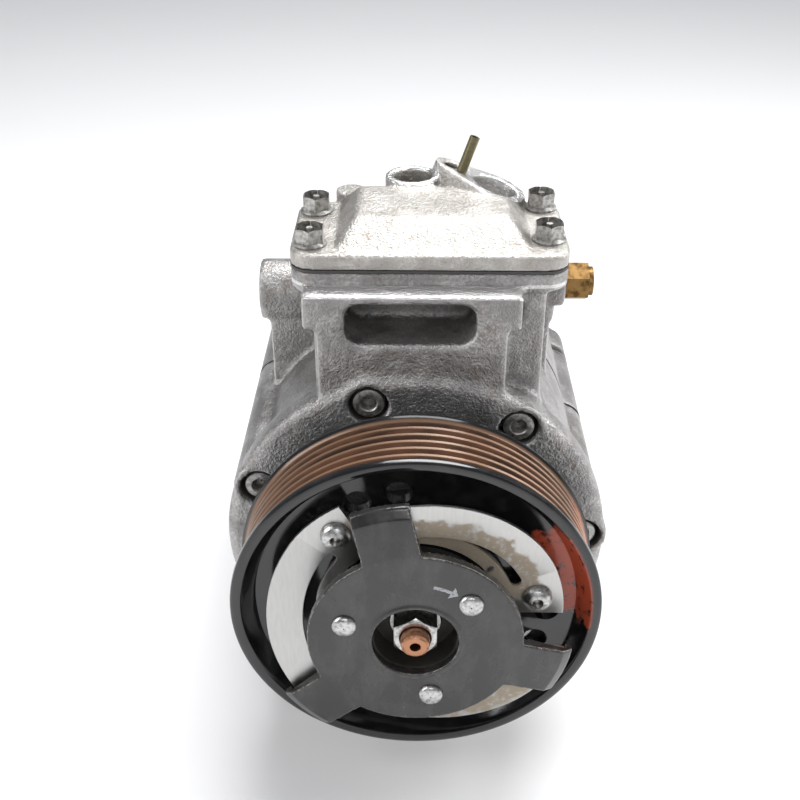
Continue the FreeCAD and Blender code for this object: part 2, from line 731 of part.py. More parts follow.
CENTRE_HOLE = 1.65
CENTRE_DEEP = 6.0
TIP_CHAMFER = 0.6
lug_rear = d.lug_front + d.lug_thick
rear_land = d.spigot_front + 20
node(turned("shaft", [
    (0, d.shaft_tip + CENTRE_DEEP),
    (CENTRE_HOLE, d.shaft_tip + CENTRE_DEEP),
    (CENTRE_HOLE, d.shaft_tip),
    (d.stud_radius - TIP_CHAMFER, d.shaft_tip),
    (d.stud_radius, d.shaft_tip + TIP_CHAMFER),
    (d.stud_radius, d.spline_front),
    (d.spline_radius, d.spline_front),
    (d.spline_radius, d.hub_rear + 0.5),
    (d.seal_land, d.hub_rear + 0.5),
    (d.seal_land, 9),
    (d.shaft_radius, 9),
    (d.shaft_radius, d.lug_front),
    (d.lug_seat, d.lug_front),
    (d.lug_seat, lug_rear),
    (d.shaft_radius, lug_rear),
    (d.shaft_radius, rear_land),
    (d.tail_radius, rear_land),
    (d.tail_radius, d.shaft_tail - TIP_CHAMFER),
    (d.tail_radius - TIP_CHAMFER, d.shaft_tail),
    (0, d.shaft_tail),
]), "drive_shaft")

# ---------------------------------------------------------------- front housing

SEAL_FRONT = -1.0
SEAL_REAR = 7.0
NEEDLE_FRONT = 13.0
NEEDLE_SHELL = 12.5
BOLTS = 7
base_front = bearing_rear + 1.8
head_rear_face = d.bolt_head_front + d.bolt_head_tall

FLANGE_ROUND = 2.5
outside = turned("front_outside", [
    (0, d.nose_front),
    (d.race_inner - 0.4, d.nose_front),
    (d.race_inner, d.nose_front + 0.4),
    (d.race_inner, snap_front),
    (d.race_inner - SNAP_DEPTH, snap_front),
    (d.race_inner - SNAP_DEPTH, d.bearing_front),
    (d.race_inner, d.bearing_front),
    (d.race_inner, bearing_rear),
    (d.race_inner + 3.5, bearing_rear),
    (d.race_inner + 3.5, base_front),
    (d.chamber_radius - 5, d.flange_front - 2.5),
    (d.chamber_radius - 2, d.flange_front),
    (d.flange_radius - FLANGE_ROUND, d.flange_front),
    (d.flange_radius - 0.3 * FLANGE_ROUND, d.flange_front + 0.3 * FLANGE_ROUND),
    (d.flange_radius, d.flange_front + FLANGE_ROUND),
    (d.flange_radius, d.flange_front + 9),
    (d.body_radius, d.flange_front + 13),
    (d.body_radius, d.housing_rear),
    (0, d.housing_rear),
])
inside = turned("front_inside", [
    (0, d.nose_front),
    (d.nose_bore, d.nose_front),
    (d.nose_bore, SEAL_FRONT - SNAP),
    (d.nose_bore + 0.8, SEAL_FRONT - SNAP),
    (d.nose_bore + 0.8, SEAL_FRONT),
    (d.nose_bore, SEAL_FRONT),
    (d.nose_bore, SEAL_REAR + 1),
    (d.shaft_radius + 1, SEAL_REAR + 1),
    (d.shaft_radius + 1, NEEDLE_FRONT),
    (NEEDLE_SHELL, NEEDLE_FRONT),
    (NEEDLE_SHELL, d.chamber_front),
    (d.chamber_radius, d.chamber_front),
    (d.chamber_radius, d.housing_rear),
    (0, d.housing_rear),
])


def bosses(label, front, rear):
    return [rod(f"{label}_boss_{index}", d.bolt_boss, rear - front, (x, front, z))
            for index, angle, x, z in around(BOLTS, d.bolt_angle, d.bolt_ring)]


def bolt_holes(label, radius, front, rear):
    return [rod(f"{label}_hole_{index}", radius, rear - front, (x, front, z))
            for index, angle, x, z in around(BOLTS, d.bolt_angle, d.bolt_ring)]


def crosswise(label, left, right, y, z, radius=None):
    return rod(label, radius or d.bore_radius, right - left, (left, y, z), "X")


BAR_INSET = 4.0
bar_rear = d.bar_front + d.bar_deep
gasket_top = d.deck_top + d.cover_gasket_thick
upper_bar = block("upper_bar", (d.bar_left, d.bar_front, d.bar_step),
                  (d.bar_right, bar_rear, d.bar_top))
lower_web = block("lower_web", (d.bar_left + BAR_INSET, d.bar_front, d.chamber_radius),
                  (d.bar_right - BAR_INSET, bar_rear, d.bar_step))


UPRIGHT_EDGES = (1, 3, 5, 7)


def deck(label, low, high):
    """The rounded rectangle shared by the muffler's flange, gasket and cover."""
    plain = block(f"{label}_plain", (d.deck_left, d.deck_front, low),
                  (d.deck_right, d.deck_rear, high))
    rounded = doc.addObject("Part::Fillet", f"{label}_rounded")
    rounded.Base = plain
    radius = float(d.deck_corner)
    rounded.Edges = [(edge, radius, radius) for edge in UPRIGHT_EDGES]
    return rounded


WALL_INSET = 6.5
muffler_flange = deck("muffler_flange", d.deck_top - d.deck_thick, d.deck_top)
muffler_walls = block("muffler_walls",
                      (d.deck_left + WALL_INSET, d.deck_front + 2, d.chamber_radius),
                      (d.deck_right - WALL_INSET, d.deck_rear - 3, d.deck_top - d.deck_thick))
ear_bar = crosswise("ear_bar", d.ear_left, d.ear_right, d.ear_place, d.ear_height, d.ear_radius)
EAR_WEB = 14.0
ear_webs = [
    block("ear_web_left", (d.ear_left + 3, d.ear_place - EAR_WEB / 2, 18),
          (d.ear_left + 24, d.ear_place + EAR_WEB / 2, d.ear_height)),
    block("ear_web_right", (d.ear_right - 20, d.ear_place - EAR_WEB / 2, 30),
          (d.ear_right - 1, d.ear_place + EAR_WEB / 2, d.ear_height)),
    block("ear_web_middle", (d.ear_left + 20, d.ear_place - EAR_WEB / 2, d.chamber_radius),
          (d.ear_right - 16, d.ear_place + EAR_WEB / 2, d.ear_height)),
]
FOOT_SINK = 8.0


def foot(label, y):
    return block(label, (-d.foot_half, y - d.foot_deep / 2, d.foot_base),
                 (d.foot_half, y + d.foot_deep / 2, FOOT_SINK - d.body_radius))


relief_boss = rod("relief_boss", 8.0, 12.0, (d.relief_x - 12, d.relief_y, d.relief_z), "X")
front_parts = [outside, upper_bar, lower_web, muffler_flange, muffler_walls, ear_bar,
               relief_boss, foot("front_foot_bar", d.front_foot)]
front_parts += ear_webs + bosses("front", d.flange_front, d.housing_rear)

COVER_THREAD = 2.5
THREAD_DEEP = 7.5
COVER_BOSS = 5.5
cover_bolt_places = [
    (d.cover_bolt_left, d.cover_bolt_front),
    (d.cover_bolt_left, d.cover_bolt_rear),
    (d.cover_bolt_right, d.cover_bolt_front + d.cover_bolt_skew),
    (d.cover_bolt_right, d.cover_bolt_rear + d.cover_bolt_skew),
]
boss_low = d.deck_top - THREAD_DEEP - 0.9
front_parts += [rod(f"cover_boss_{index}", COVER_BOSS, d.deck_top - boss_low, (x, y, boss_low), "Z")
                for index, (x, y) in enumerate(cover_bolt_places)]


def cover_holes(label, radius, low, high):
    return [rod(f"{label}_cover_hole_{index}", radius, high - low, (x, y, low), "Z")
            for index, (x, y) in enumerate(cover_bolt_places)]


WINDOW_CORNER = 4.5
window_block = block("window_block", (d.window_left, d.bar_front, d.window_low),
                     (d.window_right, bar_rear - 3, d.window_high))
window = doc.addObject("Part::Fillet", "window")
window.Base = window_block
doc.recompute()
window.Edges = [(number, WINDOW_CORNER, WINDOW_CORNER)
                for number, edge in enumerate(window_block.Shape.Edges, 1)
                if abs(edge.tangentAt(edge.FirstParameter).y) > 0.9]
CAVITY_LEFT = -22.0
CAVITY_RIGHT = 31.0
cavity = block("muffler_cavity", (CAVITY_LEFT, bar_rear + 3, d.ear_height + d.ear_radius + 2),
               (CAVITY_RIGHT, d.deck_rear - 10, d.deck_top))
RELIEF_THREAD = 5.0
front_cuts = [
    inside,
    window,
    cavity,
    crosswise("upper_bore", d.bar_left, d.bar_right, (d.bar_front + bar_rear) / 2,
              d.bar_bore_height),
    crosswise("ear_bore", d.ear_left, d.ear_right, d.ear_place, d.ear_height),
    crosswise("foot_bore", -d.foot_half, d.foot_half, d.front_foot, d.foot_bore_height),
    rod("relief_hole", RELIEF_THREAD, d.relief_x - CAVITY_RIGHT + 1,
        (CAVITY_RIGHT - 1, d.relief_y, d.relief_z), "X"),
]
front_cuts += bolt_holes("front", d.bolt_radius + d.loose, d.flange_front, d.housing_rear)
front_cuts += bolt_holes("sink", d.bolt_head + 1.3, d.flange_front, head_rear_face)
front_cuts += cover_holes("deck", COVER_THREAD, d.deck_top - THREAD_DEEP, d.deck_top)
node(cut("front_cut", fuse("front_blank", front_parts), front_cuts), "front_housing")

node(turned("lip_seal", [
    (d.seal_land + d.running / 2, SEAL_REAR - 1.5),
    (d.seal_land + 1.5, SEAL_FRONT),
    (d.nose_bore, SEAL_FRONT),
    (d.nose_bore, SEAL_REAR),
    (d.seal_land + 3, SEAL_REAR),
    (d.seal_land + 2.6, SEAL_FRONT + 2),
    (d.seal_land + 0.8, SEAL_REAR - 0.5),
    (d.seal_land + d.running / 2, SEAL_REAR - 0.5),
]), "shaft_seal")
seal_ring = tube("seal_ring", d.hub_boss + 1, d.nose_bore + 0.8, SEAL_FRONT - SNAP, SEAL_FRONT)
node(group("snap_ring_group", [nose_ring, seal_ring]), "nose_snap_rings")

# ---------------------------------------------------------------- needle and thrust bearings


def needle_bearing(name, land, shell_outside, roller, count, front, rear):
    """A drawn shell and a full set of rollers round a shaft land."""
    middle = land + d.running + roller
    inside_radius = middle + roller + d.running
    node(tube(f"{name}_shell_tube", inside_radius, shell_outside, front, rear), f"{name}_shell")
    rollers = [rod(f"{name}_{index}", roller, rear - front - 2, (x, front + 1, z))
               for index, angle, x, z in around(count, as_size(0.0), middle)]
    node(group(f"{name}_group", rollers), f"{name}_rollers")


needle_bearing("front_needle", d.shaft_radius, as_size(NEEDLE_SHELL), as_size(1.25), 24,
               as_size(NEEDLE_FRONT), d.chamber_front - 1)
REAR_SHELL = 11.0
needle_bearing("rear_needle", d.tail_radius, as_size(REAR_SHELL), as_size(1.05), 24,
               rear_land + 1, d.shaft_tail - 2)

THRUST_ROLLERS = 20
THRUST_IN = 15.0
THRUST_OUT = 22.0
thrust_radius = (d.lug_front - d.chamber_front) / 2 - d.running
thrust_middle = (d.lug_front + d.chamber_front) / 2
thrust_cage = tube("thrust_cage_blank", THRUST_IN - 1.2, THRUST_OUT + 1.2,
                   thrust_middle - 0.7, thrust_middle + 0.7)
thrust_rollers = []
thrust_slots = []
for index, angle, x, z in around(THRUST_ROLLERS, as_size(0.0), as_size(THRUST_IN)):
    outwards = FreeCAD.Rotation(FreeCAD.Vector(0, 1, 0), 90 - float(angle))
    thrust_rollers.append(rod(f"thrust_roller_{index}", thrust_radius, THRUST_OUT - THRUST_IN,
                              (x, thrust_middle, z), rotation=outwards))
    thrust_slots.append(rod(f"thrust_slot_{index}", thrust_radius + d.running,
                            THRUST_OUT - THRUST_IN, (x, thrust_middle, z), rotation=outwards))
thrust_cage_cut = cut("thrust_cage_cut", thrust_cage, thrust_slots)
node(group("thrust_group", [thrust_cage_cut] + thrust_rollers), "thrust_bearing")

# ---------------------------------------------------------------- swash plate mechanism

swash_front = d.swash_middle - d.swash_thick / 2
swash_rear = d.swash_middle + d.swash_thick / 2
SLEEVE = 12.0
ARM = 5.0
ARM_TALL = 6.4
LUG_ARM = 4.8
arm_low = d.hinge_height - ARM_TALL / 2
arm_high = d.hinge_height + ARM_TALL / 2
lug_disc = tube("lug_disc", d.lug_seat, d.lug_radius, d.lug_front, lug_rear)
lug_arms = [
    block("lug_arm_left", (-(ARM + 0.2 + LUG_ARM), lug_rear, arm_low),
          (-(ARM + 0.2), d.hinge_place + 3, arm_high)),
    block("lug_arm_right", (ARM + 0.2, lug_rear, arm_low),
          (ARM + 0.2 + LUG_ARM, d.hinge_place + 3, arm_high)),
]
hinge_half = ARM + 0.2 + LUG_ARM
hinge_hole = crosswise("lug_hinge_hole", as_size(-hinge_half), as_size(hinge_half),
                       d.hinge_place, d.hinge_height, d.hinge_pin)
node(cut("lug_cut", fuse("lug_blank", [lug_disc] + lug_arms), [hinge_hole]), "lug_plate")
swash_disc = tube("swash_disc", SLEEVE, d.swash_radius, swash_front, swash_rear)
swash_boss = tube("swash_boss", SLEEVE, SLEEVE + 6.5, swash_rear, swash_rear + 5)
swash_arm = block("swash_arm", (-ARM, d.hinge_place - 3, arm_low), (ARM, swash_front, arm_high))
swash_hole = crosswise("swash_hinge_hole", as_size(-ARM), as_size(ARM), d.hinge_place,
                       d.hinge_height, d.hinge_pin + d.running)
sleeve_front = swash_front - 3
sleeve_rear = swash_rear + 6
sleeve_room = rod("swash_sleeve_room", SLEEVE, sleeve_rear - sleeve_front, (0, sleeve_front, 0))
node(cut("swash_cut", fuse("swash_blank", [swash_disc, swash_boss, swash_arm]),
         [swash_hole, sleeve_room]), "swash_plate")
node(crosswise("hinge_rod", as_size(-hinge_half), as_size(hinge_half), d.hinge_place,
               d.hinge_height, d.hinge_pin), "hinge_pin")
node(tube("sleeve", d.shaft_radius + d.running, SLEEVE, sleeve_front, sleeve_rear),
     "swash_sleeve")

spring_middle = d.shaft_radius + d.wire + 0.25
STOP_THICK = 1.4
stop_front = d.spigot_front - 2.5
TURNS = 4


def shaft_spring(label, front, rear):
    free = rear - front - 2 * d.wire - 0.2
    return node(coil(label, spring_middle, d.wire, free / TURNS, TURNS,
                     (0, front + d.wire + 0.1, 0)), label)


shaft_spring("destroke_spring", lug_rear, sleeve_front)
shaft_spring("return_spring", sleeve_rear, stop_front)
node(tube("stop_tube", d.shaft_radius, d.shaft_radius + 3, stop_front, stop_front + STOP_THICK),
     "shaft_stop_ring")

# ---------------------------------------------------------------- pistons and shoes

PISTONS = 7
SHOE_LIFT = 0.03
shoes = []
for index, angle, x, z in around(PISTONS, d.piston_angle, d.piston_ring):
    barrel = rod(f"piston_barrel_{index}", d.piston_radius, d.piston_rear - d.piston_front,
                 (x, d.piston_front, z))
    slot_half = d.swash_thick / 2 + d.gap
    slot = rod(f"piston_slot_{index}", d.swash_radius + d.gap, slot_half * 2,
               (0, d.swash_middle - slot_half, 0))
    socket = ball(f"piston_socket_{index}", d.shoe_ball + d.running / 2,
                  (x, d.swash_middle, z))
    node(cut(f"piston_cut_{index}", barrel, [slot, socket]), f"piston_{index + 1}")
    for side, low, high in (("front", -d.shoe_ball, -d.swash_thick / 2 - SHOE_LIFT),
                            ("rear", d.swash_thick / 2 + SHOE_LIFT, d.shoe_ball)):
        whole = ball(f"shoe_ball_{side}_{index}", d.shoe_ball, (x, d.swash_middle, z))
        half = rod(f"shoe_half_{side}_{index}", d.shoe_ball + 1, high - low,
                   (x, d.swash_middle + low, z))
        shoes.append(common(f"shoe_{side}_{index}", whole, half))
node(group("shoe_group", shoes), "piston_shoes")

# ---------------------------------------------------------------- cylinder block

block_front = d.housing_rear + d.block_seam
ORING = 1.2
spigot_radius = d.chamber_radius - d.running
groove_bottom = d.chamber_radius - 2 * ORING
groove_front = d.spigot_front + 3
block_blank = turned("block_blank", [
    (0, d.spigot_front),
    (spigot_radius, d.spigot_front),
    (spigot_radius, groove_front),
    (groove_bottom, groove_front),
    (groove_bottom, groove_front + 2.2 * ORING),
    (spigot_radius, groove_front + 2.2 * ORING),
    (spigot_radius, block_front),
    (d.body_radius, block_front),
    (d.body_radius, d.block_rear),
    (0, d.block_rear),
])
block_cuts = [
    rod("block_shaft_hole", d.shaft_radius + 1, rear_land - d.spigot_front,
        (0, d.spigot_front, 0)),
    rod("block_needle_seat", REAR_SHELL, d.shaft_tail + 1 - rear_land, (0, rear_land, 0)),
    rod("block_vent", 3.0, d.block_rear - d.shaft_tail, (0, d.shaft_tail, 0)),
]
for index, angle, x, z in around(PISTONS, d.piston_angle, d.piston_ring):
    block_cuts.append(rod(f"cylinder_{index}", d.piston_radius + d.running,
                          d.block_rear - d.spigot_front, (x, d.spigot_front, z)))
block_cuts += bolt_holes("block", d.bolt_radius + d.loose, block_front, d.block_rear)
block_solid = fuse("block_fused", [block_blank] + bosses("block", block_front, d.block_rear))
node(cut("block_cut", block_solid, block_cuts), "cylinder_block")
node(ring("block_o_ring_torus", d.chamber_radius - ORING, ORING,
          (0, groove_front + 1.1 * ORING, 0)), "block_o_ring")
seam_blank = fuse("seam_blank", [rod("seam_disc", d.body_radius, d.block_seam,
                                     (0, d.housing_rear, 0))]
                  + bosses("seam", d.housing_rear, block_front))
seam_hollow = rod("seam_hollow", d.chamber_radius, d.block_seam, (0, d.housing_rear, 0))
seam_holes = bolt_holes("seam", d.bolt_radius + d.loose, d.housing_rear, block_front)
node(cut("seam_cut", seam_blank, [seam_hollow] + seam_holes), "block_gasket")

# ---------------------------------------------------------------- valve plates and rear head


def stacked_plate(label, front, thick, extra):
    """A flat plate of the housing's outline with its bolt holes."""
    rear = front + thick
    blank = fuse(f"{label}_blank", [rod(f"{label}_disc", d.body_radius, thick, (0, front, 0))]
                 + bosses(label, front, rear))
    holes = bolt_holes(label, d.bolt_radius + d.loose, front, rear) + extra
    return node(cut(f"{label}_cut", blank, holes), label)


PORT_IN = 26.0
PORT_OUT = 39.0


def valve_ports(label, radius, hole, front, thick):
    return [rod(f"{label}_port_{index}", hole, thick, (x, front, z))
            for index, angle, x, z in around(PISTONS, d.piston_angle, as_size(radius))]


ROOT_SHARE = 0.87


def reed_slits(label, radius, width, reach, front, thick):
    """U-shaped slits that free one reed over each port."""
    slits = []
    for index, angle, x, z in around(PISTONS, d.piston_angle, as_size(radius)):
        round_slit = cut(f"{label}_slit_{index}",
                         rod(f"{label}_wide_{index}", width, thick, (x, front, z)),
                         [rod(f"{label}_reed_{index}", width - 0.8, thick, (x, front, z)),
                          rod(f"{label}_root_{index}", reach, thick,
                              (x * ROOT_SHARE, front, z * ROOT_SHARE))])
        slits.append(round_slit)
    return slits


suction_front = d.block_rear
plate_front_face = suction_front + d.reed_thick
discharge_front = plate_front_face + d.valve_plate_thick
gasket_front = discharge_front + d.reed_thick
head_front = gasket_front + d.head_gasket_thick
stacked_plate("suction_reed_plate", suction_front, d.reed_thick,
              valve_ports("suction_reed", PORT_OUT, 2.5, suction_front, d.reed_thick)
              + reed_slits("suction_reed", PORT_IN, 5.0, 3.0, suction_front, d.reed_thick))
stacked_plate("valve_plate", plate_front_face, d.valve_plate_thick,
              valve_ports("valve_in", PORT_IN, 3.0, plate_front_face, d.valve_plate_thick)
              + valve_ports("valve_out", PORT_OUT, 2.5, plate_front_face, d.valve_plate_thick))
stacked_plate("discharge_reed_plate", discharge_front, d.reed_thick,
              valve_ports("discharge_reed", PORT_IN, 3.0, discharge_front, d.reed_thick)
              + reed_slits("discharge_reed", PORT_OUT, 4.5, 3.0, discharge_front, d.reed_thick))
stacked_plate("head_gasket", gasket_front, d.head_gasket_thick,
              valve_ports("gasket_in", PORT_IN, 4.0, gasket_front, d.head_gasket_thick)
              + valve_ports("gasket_out", PORT_OUT, 5.0, gasket_front, d.head_gasket_thick))

HEAD_CHAMFER = 7.0
CHAMBER_DEEP = 10.0
BOSS_DEEP = 16.0
CONTROL_WALL = 4.0
head_outside = turned("head_outside", [
    (0, head_front),
    (d.body_radius, head_front),
    (d.body_radius, d.head_rear - HEAD_CHAMFER),
    (d.body_radius - HEAD_CHAMFER, d.head_rear),
    (0, d.head_rear),
])
CONTROL_DEEP = 25.0
control_front = d.head_rear - CONTROL_DEEP
control_rear = d.head_rear + 2
CONTROL_RING = 1.4
CONTROL_RING_WIDE = 3.0
control_boss = rod("control_boss", d.control_bore + CONTROL_WALL, CONTROL_DEEP,
                   (0, control_front + 2, d.control_z))
inner_chamber = rod("head_inner_chamber", 30.0, CHAMBER_DEEP, (0, head_front, 0))
outer_chamber = tube("head_outer_chamber", 33.0, 47.0, head_front, head_front + CHAMBER_DEEP)
head_cuts = [
    inner_chamber,
    outer_chamber,
    rod("control_bore_cut", d.control_bore, CONTROL_DEEP + 2, (0, control_front, d.control_z)),
    rod("control_ring_seat", d.control_bore + CONTROL_RING_WIDE, CONTROL_RING,
        (0, control_rear - CONTROL_RING, d.control_z)),
    crosswise("rear_foot_bore", -d.foot_half, d.foot_half, d.rear_foot, d.foot_bore_height),
]
head_cuts += bolt_holes("head", d.bolt_radius, head_front, d.bolt_rear + 1)
head_solid = fuse("head_fused", [head_outside, control_boss, foot("rear_foot_bar", d.rear_foot)]
                  + bosses("head", head_front, head_front + BOSS_DEEP))
node(cut("head_cut", head_solid, head_cuts), "rear_head")

KEY_ACROSS = 5.0
KEY_DEEP = 3.5
bolts = []
for index, angle, x, z in around(BOLTS, d.bolt_angle, d.bolt_ring):
    shank = rod(f"through_shank_{index}", d.bolt_radius, d.bolt_rear - head_rear_face,
                (x, head_rear_face, z))
    head = rod(f"through_head_{index}", d.bolt_head, d.bolt_head_tall, (x, d.bolt_head_front, z))
    key = hexagon(f"through_key_{index}", KEY_ACROSS, KEY_DEEP, (x, d.bolt_head_front, z))
    bolts.append(cut(f"through_bolt_{index}", fuse(f"through_blank_{index}", [shank, head]),
                     [key]))
node(group("through_bolt_group", bolts), "housing_bolts")

# ---------------------------------------------------------------- muffler cover and ports

gasket_blank = deck("cover_gasket_sheet", d.deck_top, gasket_top)
gasket_window = block("gasket_window", (CAVITY_LEFT, bar_rear + 3, d.deck_top),
                      (CAVITY_RIGHT, d.deck_rear - 10, gasket_top))
node(cut("cover_gasket_cut", gasket_blank,
         [gasket_window] + cover_holes("gasket", COVER_THREAD + d.loose, d.deck_top, gasket_top)),
     "cover_gasket")

plate_top = gasket_top + d.cover_plate
DOME_LEFT = -25.0
DOME_RIGHT = 34.0
DOME_SLOPE = 6.0
dome = doc.addObject("Part::Wedge", "cover_dome")
dome.Xmin, dome.Xmax = DOME_LEFT, DOME_RIGHT
dome.X2min, dome.X2max = DOME_LEFT + DOME_SLOPE, DOME_RIGHT - DOME_SLOPE
dome.Ymin = 0.0
bind(dome, "Ymax", d.dome_top - plate_top)
bind(dome, "Zmin", -(d.deck_rear + 2))
bind(dome, "Zmax", -(d.deck_front + 3))
bind(dome, "Z2min", -(d.deck_rear - 1))
bind(dome, "Z2max", -(d.deck_front + 3 + 2 * DOME_SLOPE))
place(dome, (0, 0, plate_top), FreeCAD.Rotation(FreeCAD.Vector(1, 0, 0), 90))
dome_round = doc.addObject("Part::Fillet", "cover_dome_round")
dome_round.Base = dome
DOME_ROUND = 4.0

# the suction port, the clamp hole and the locating pin share one leaning face
port_middle = FreeCAD.Vector(25.0, 75.0, 105.0)
lean = float(d.port_tilt)
face_normal = FreeCAD.Vector(math.sin(math.radians(lean)), 0, math.cos(math.radians(lean)))
face_run = FreeCAD.Vector(-0.877, 0.368, 0.307)
face_run = (face_run - face_normal * face_run.dot(face_normal)).normalize()
face_side = face_normal.cross(face_run)
face_turn = FreeCAD.Rotation(face_run, face_side, face_normal, "ZXY")
PAD_LONG = 16.0
PAD_END = 5.5
PAD_DEEP = 18.0
PASSAGE = 3.5
PASSAGE_LONG = 8.0
PIN_PLACE = (11.6, 2.2)
PIN_SUNK = 5.0
PIN_SQUEEZE = 0.2
PIN_WALL = 0.6
PIN_SLOT = 0.7


def on_face(along, aside, depth=0.0):
    """A point of the leaning port face, some way down into the metal."""
    return port_middle + face_run * along + face_side * aside - face_normal * depth


def port_rod(label, radius, length, along, aside, depth):
    return rod(label, radius, length, tuple(on_face(along, aside, depth)), rotation=face_turn)


slope = math.acos((float(d.port_boss) - PAD_END) / PAD_LONG)
pad_corners = [
    (d.port_boss * math.cos(slope), -d.port_boss * math.sin(slope)),
    (PAD_LONG + PAD_END * math.cos(slope), -PAD_END * math.sin(slope)),
    (PAD_LONG + PAD_END * math.cos(slope), PAD_END * math.sin(slope)),
    (d.port_boss * math.cos(slope), d.port_boss * math.sin(slope)),
]
pad_web = padded("port_web", "XY_Plane", pad_corners, PAD_DEEP, tuple(on_face(0, 0, PAD_DEEP)),
                 face_turn)
pad_parts = [
    pad_web,
    port_rod("port_boss_rod", d.port_boss, PAD_DEEP, 0, 0, PAD_DEEP),
    port_rod("clamp_boss_rod", PAD_END, PAD_DEEP, PAD_LONG, 0, PAD_DEEP),
]
DOWEL_BOSS = 5.0
DOWEL_TOP = 102.3
DOWEL_X = -22.0
outlet_boss = rod("outlet_boss_rod", d.outlet_boss, d.outlet_top - d.port_skirt,
                  (d.outlet_x, d.outlet_y, d.port_skirt), "Z")
dowel_boss = rod("dowel_boss", DOWEL_BOSS, DOWEL_TOP - d.port_skirt,
                 (DOWEL_X, d.deck_rear + 3, d.port_skirt), "Z")
cover_blank = fuse("cover_blank", [deck("cover_sheet", gasket_top, plate_top), dome_round]
                   + pad_parts + [outlet_boss, dowel_boss])
below = block("below_cover", (d.ear_left, 0, 0), (-d.ear_left, d.deck_rear + d.gap, gasket_top))
skirt_end = block("skirt_end", (d.ear_left, 0, 0), (-d.ear_left, 150, d.port_skirt))
passage = rod("suction_passage", PASSAGE, PASSAGE_LONG, (20, d.deck_rear - 12, 99), "Y")
hollow = block("cover_hollow", (CAVITY_LEFT + 2, bar_rear + 5, gasket_top),
               (CAVITY_RIGHT - 5, d.deck_rear - 10, d.dome_top - 4))
cover_cuts = [
    below,
    skirt_end,
    hollow,
    passage,
    port_rod("port_clear", d.port_boss, PAD_DEEP, 0, 0, 0),
    port_rod("port_bore_cut", d.port_bore, PAD_DEEP, 0, 0, d.port_deep.number),
    port_rod("clamp_hole_cut", d.clamp_hole, 10.0, PAD_LONG, 0, 10.0),
    port_rod("pin_hole_cut", d.pin_radius - PIN_SQUEEZE, PIN_SUNK, *PIN_PLACE, PIN_SUNK),
    rod("outlet_bore_cut", d.outlet_bore, d.outlet_deep,
        (d.outlet_x, d.outlet_y, d.outlet_top - d.outlet_deep), "Z"),
]
cover_cuts += cover_holes("cover", COVER_THREAD + d.loose, gasket_top, plate_top + 30)
cover_cuts += [rod(f"spot_face_{index}", d.cover_bolt_collar + 0.9, 30.0, (x, y, plate_top), "Z")
               for index, (x, y) in enumerate(cover_bolt_places)]
doc.recompute()
dome_edges = []
for number, edge in enumerate(dome.Shape.Edges, 1):
    heights = [vertex.Point.z for vertex in edge.Vertexes]
    if max(heights) > float(plate_top) + 0.1:
        dome_edges.append((number, DOME_ROUND, DOME_ROUND))
dome_round.Edges = dome_edges
node(cut("cover_cut", cover_blank, cover_cuts), "muffler_cover")

BOLT_HEAD_TALL = 4.6
COLLAR_THICK = 1.3
cover_bolts = []
for index, (x, y) in enumerate(cover_bolt_places):
    collar = rod(f"cover_collar_{index}", d.cover_bolt_collar, COLLAR_THICK, (x, y, plate_top), "Z")
    head = hexagon(f"cover_head_{index}", d.cover_bolt_across, BOLT_HEAD_TALL,
                   (x, y, plate_top + COLLAR_THICK), "Z")
    shank = rod(f"cover_shank_{index}", COVER_THREAD,
                d.cover_plate + d.cover_gasket_thick + THREAD_DEEP - 1,
                (x, y, d.deck_top - THREAD_DEEP + 1), "Z")
    cover_bolts.append(fuse(f"cover_bolt_{index}", [collar, head, shank]))
node(group("cover_bolt_group", cover_bolts), "cover_bolts")

# the spring pin's sunk end is squeezed smaller by its hole
pin_long = PIN_SUNK + d.pin_stands
pin_blank = fuse("pin_blank", [
    port_rod("pin_sunk_end", d.pin_radius - PIN_SQUEEZE, PIN_SUNK, *PIN_PLACE, PIN_SUNK),
    port_rod("pin_free_end", d.pin_radius, d.pin_stands, *PIN_PLACE, 0),
])
pin_hollow = port_rod("pin_hollow", d.pin_radius - PIN_WALL, pin_long, *PIN_PLACE, PIN_SUNK)
pin_slot = block("pin_slot", (0, 0, 0), (d.pin_radius + 1, PIN_SLOT, pin_long))
slot_start = on_face(PIN_PLACE[0], PIN_PLACE[1] - PIN_SLOT / 2, PIN_SUNK)
place(pin_slot, tuple(slot_start), face_turn)
node(cut("pin_cut", pin_blank, [pin_hollow, pin_slot]), "locating_pin")

# ---------------------------------------------------------------- relief valve

HEX_LONG = 7.2
COLLAR = 4.6
CHEST = 3.0
relief_at = (d.relief_x, d.relief_y, d.relief_z)
relief_left = d.relief_x - 10
relief_parts = [
    rod("relief_thread", RELIEF_THREAD, 10.0, (relief_left, d.relief_y, d.relief_z), "X"),
    hexagon("relief_hex", d.relief_across, HEX_LONG, relief_at, "X"),
    rod("relief_collar", COLLAR, 1.6, (d.relief_x + HEX_LONG, d.relief_y, d.relief_z), "X"),
]
SEAT = 2.5
relief_cuts = [
    rod("relief_chest", CHEST, 14.6, (relief_left + SEAT, d.relief_y, d.relief_z), "X"),
    rod("relief_inlet", 1.4, SEAT, (relief_left, d.relief_y, d.relief_z), "X"),
    rod("relief_outlet", 1.2, 3.0, (d.relief_x + 6, d.relief_y, d.relief_z), "X"),
]
node(cut("relief_cut", fuse("relief_blank", relief_parts), relief_cuts), "relief_valve_body")
POPPET = 3.0
node(rod("relief_poppet_rod", CHEST - d.running, POPPET,
         (relief_left + SEAT, d.relief_y, d.relief_z), "X"), "relief_poppet")
RELIEF_WIRE = 0.4
relief_free = 14.6 - POPPET - 2 * RELIEF_WIRE - 0.2
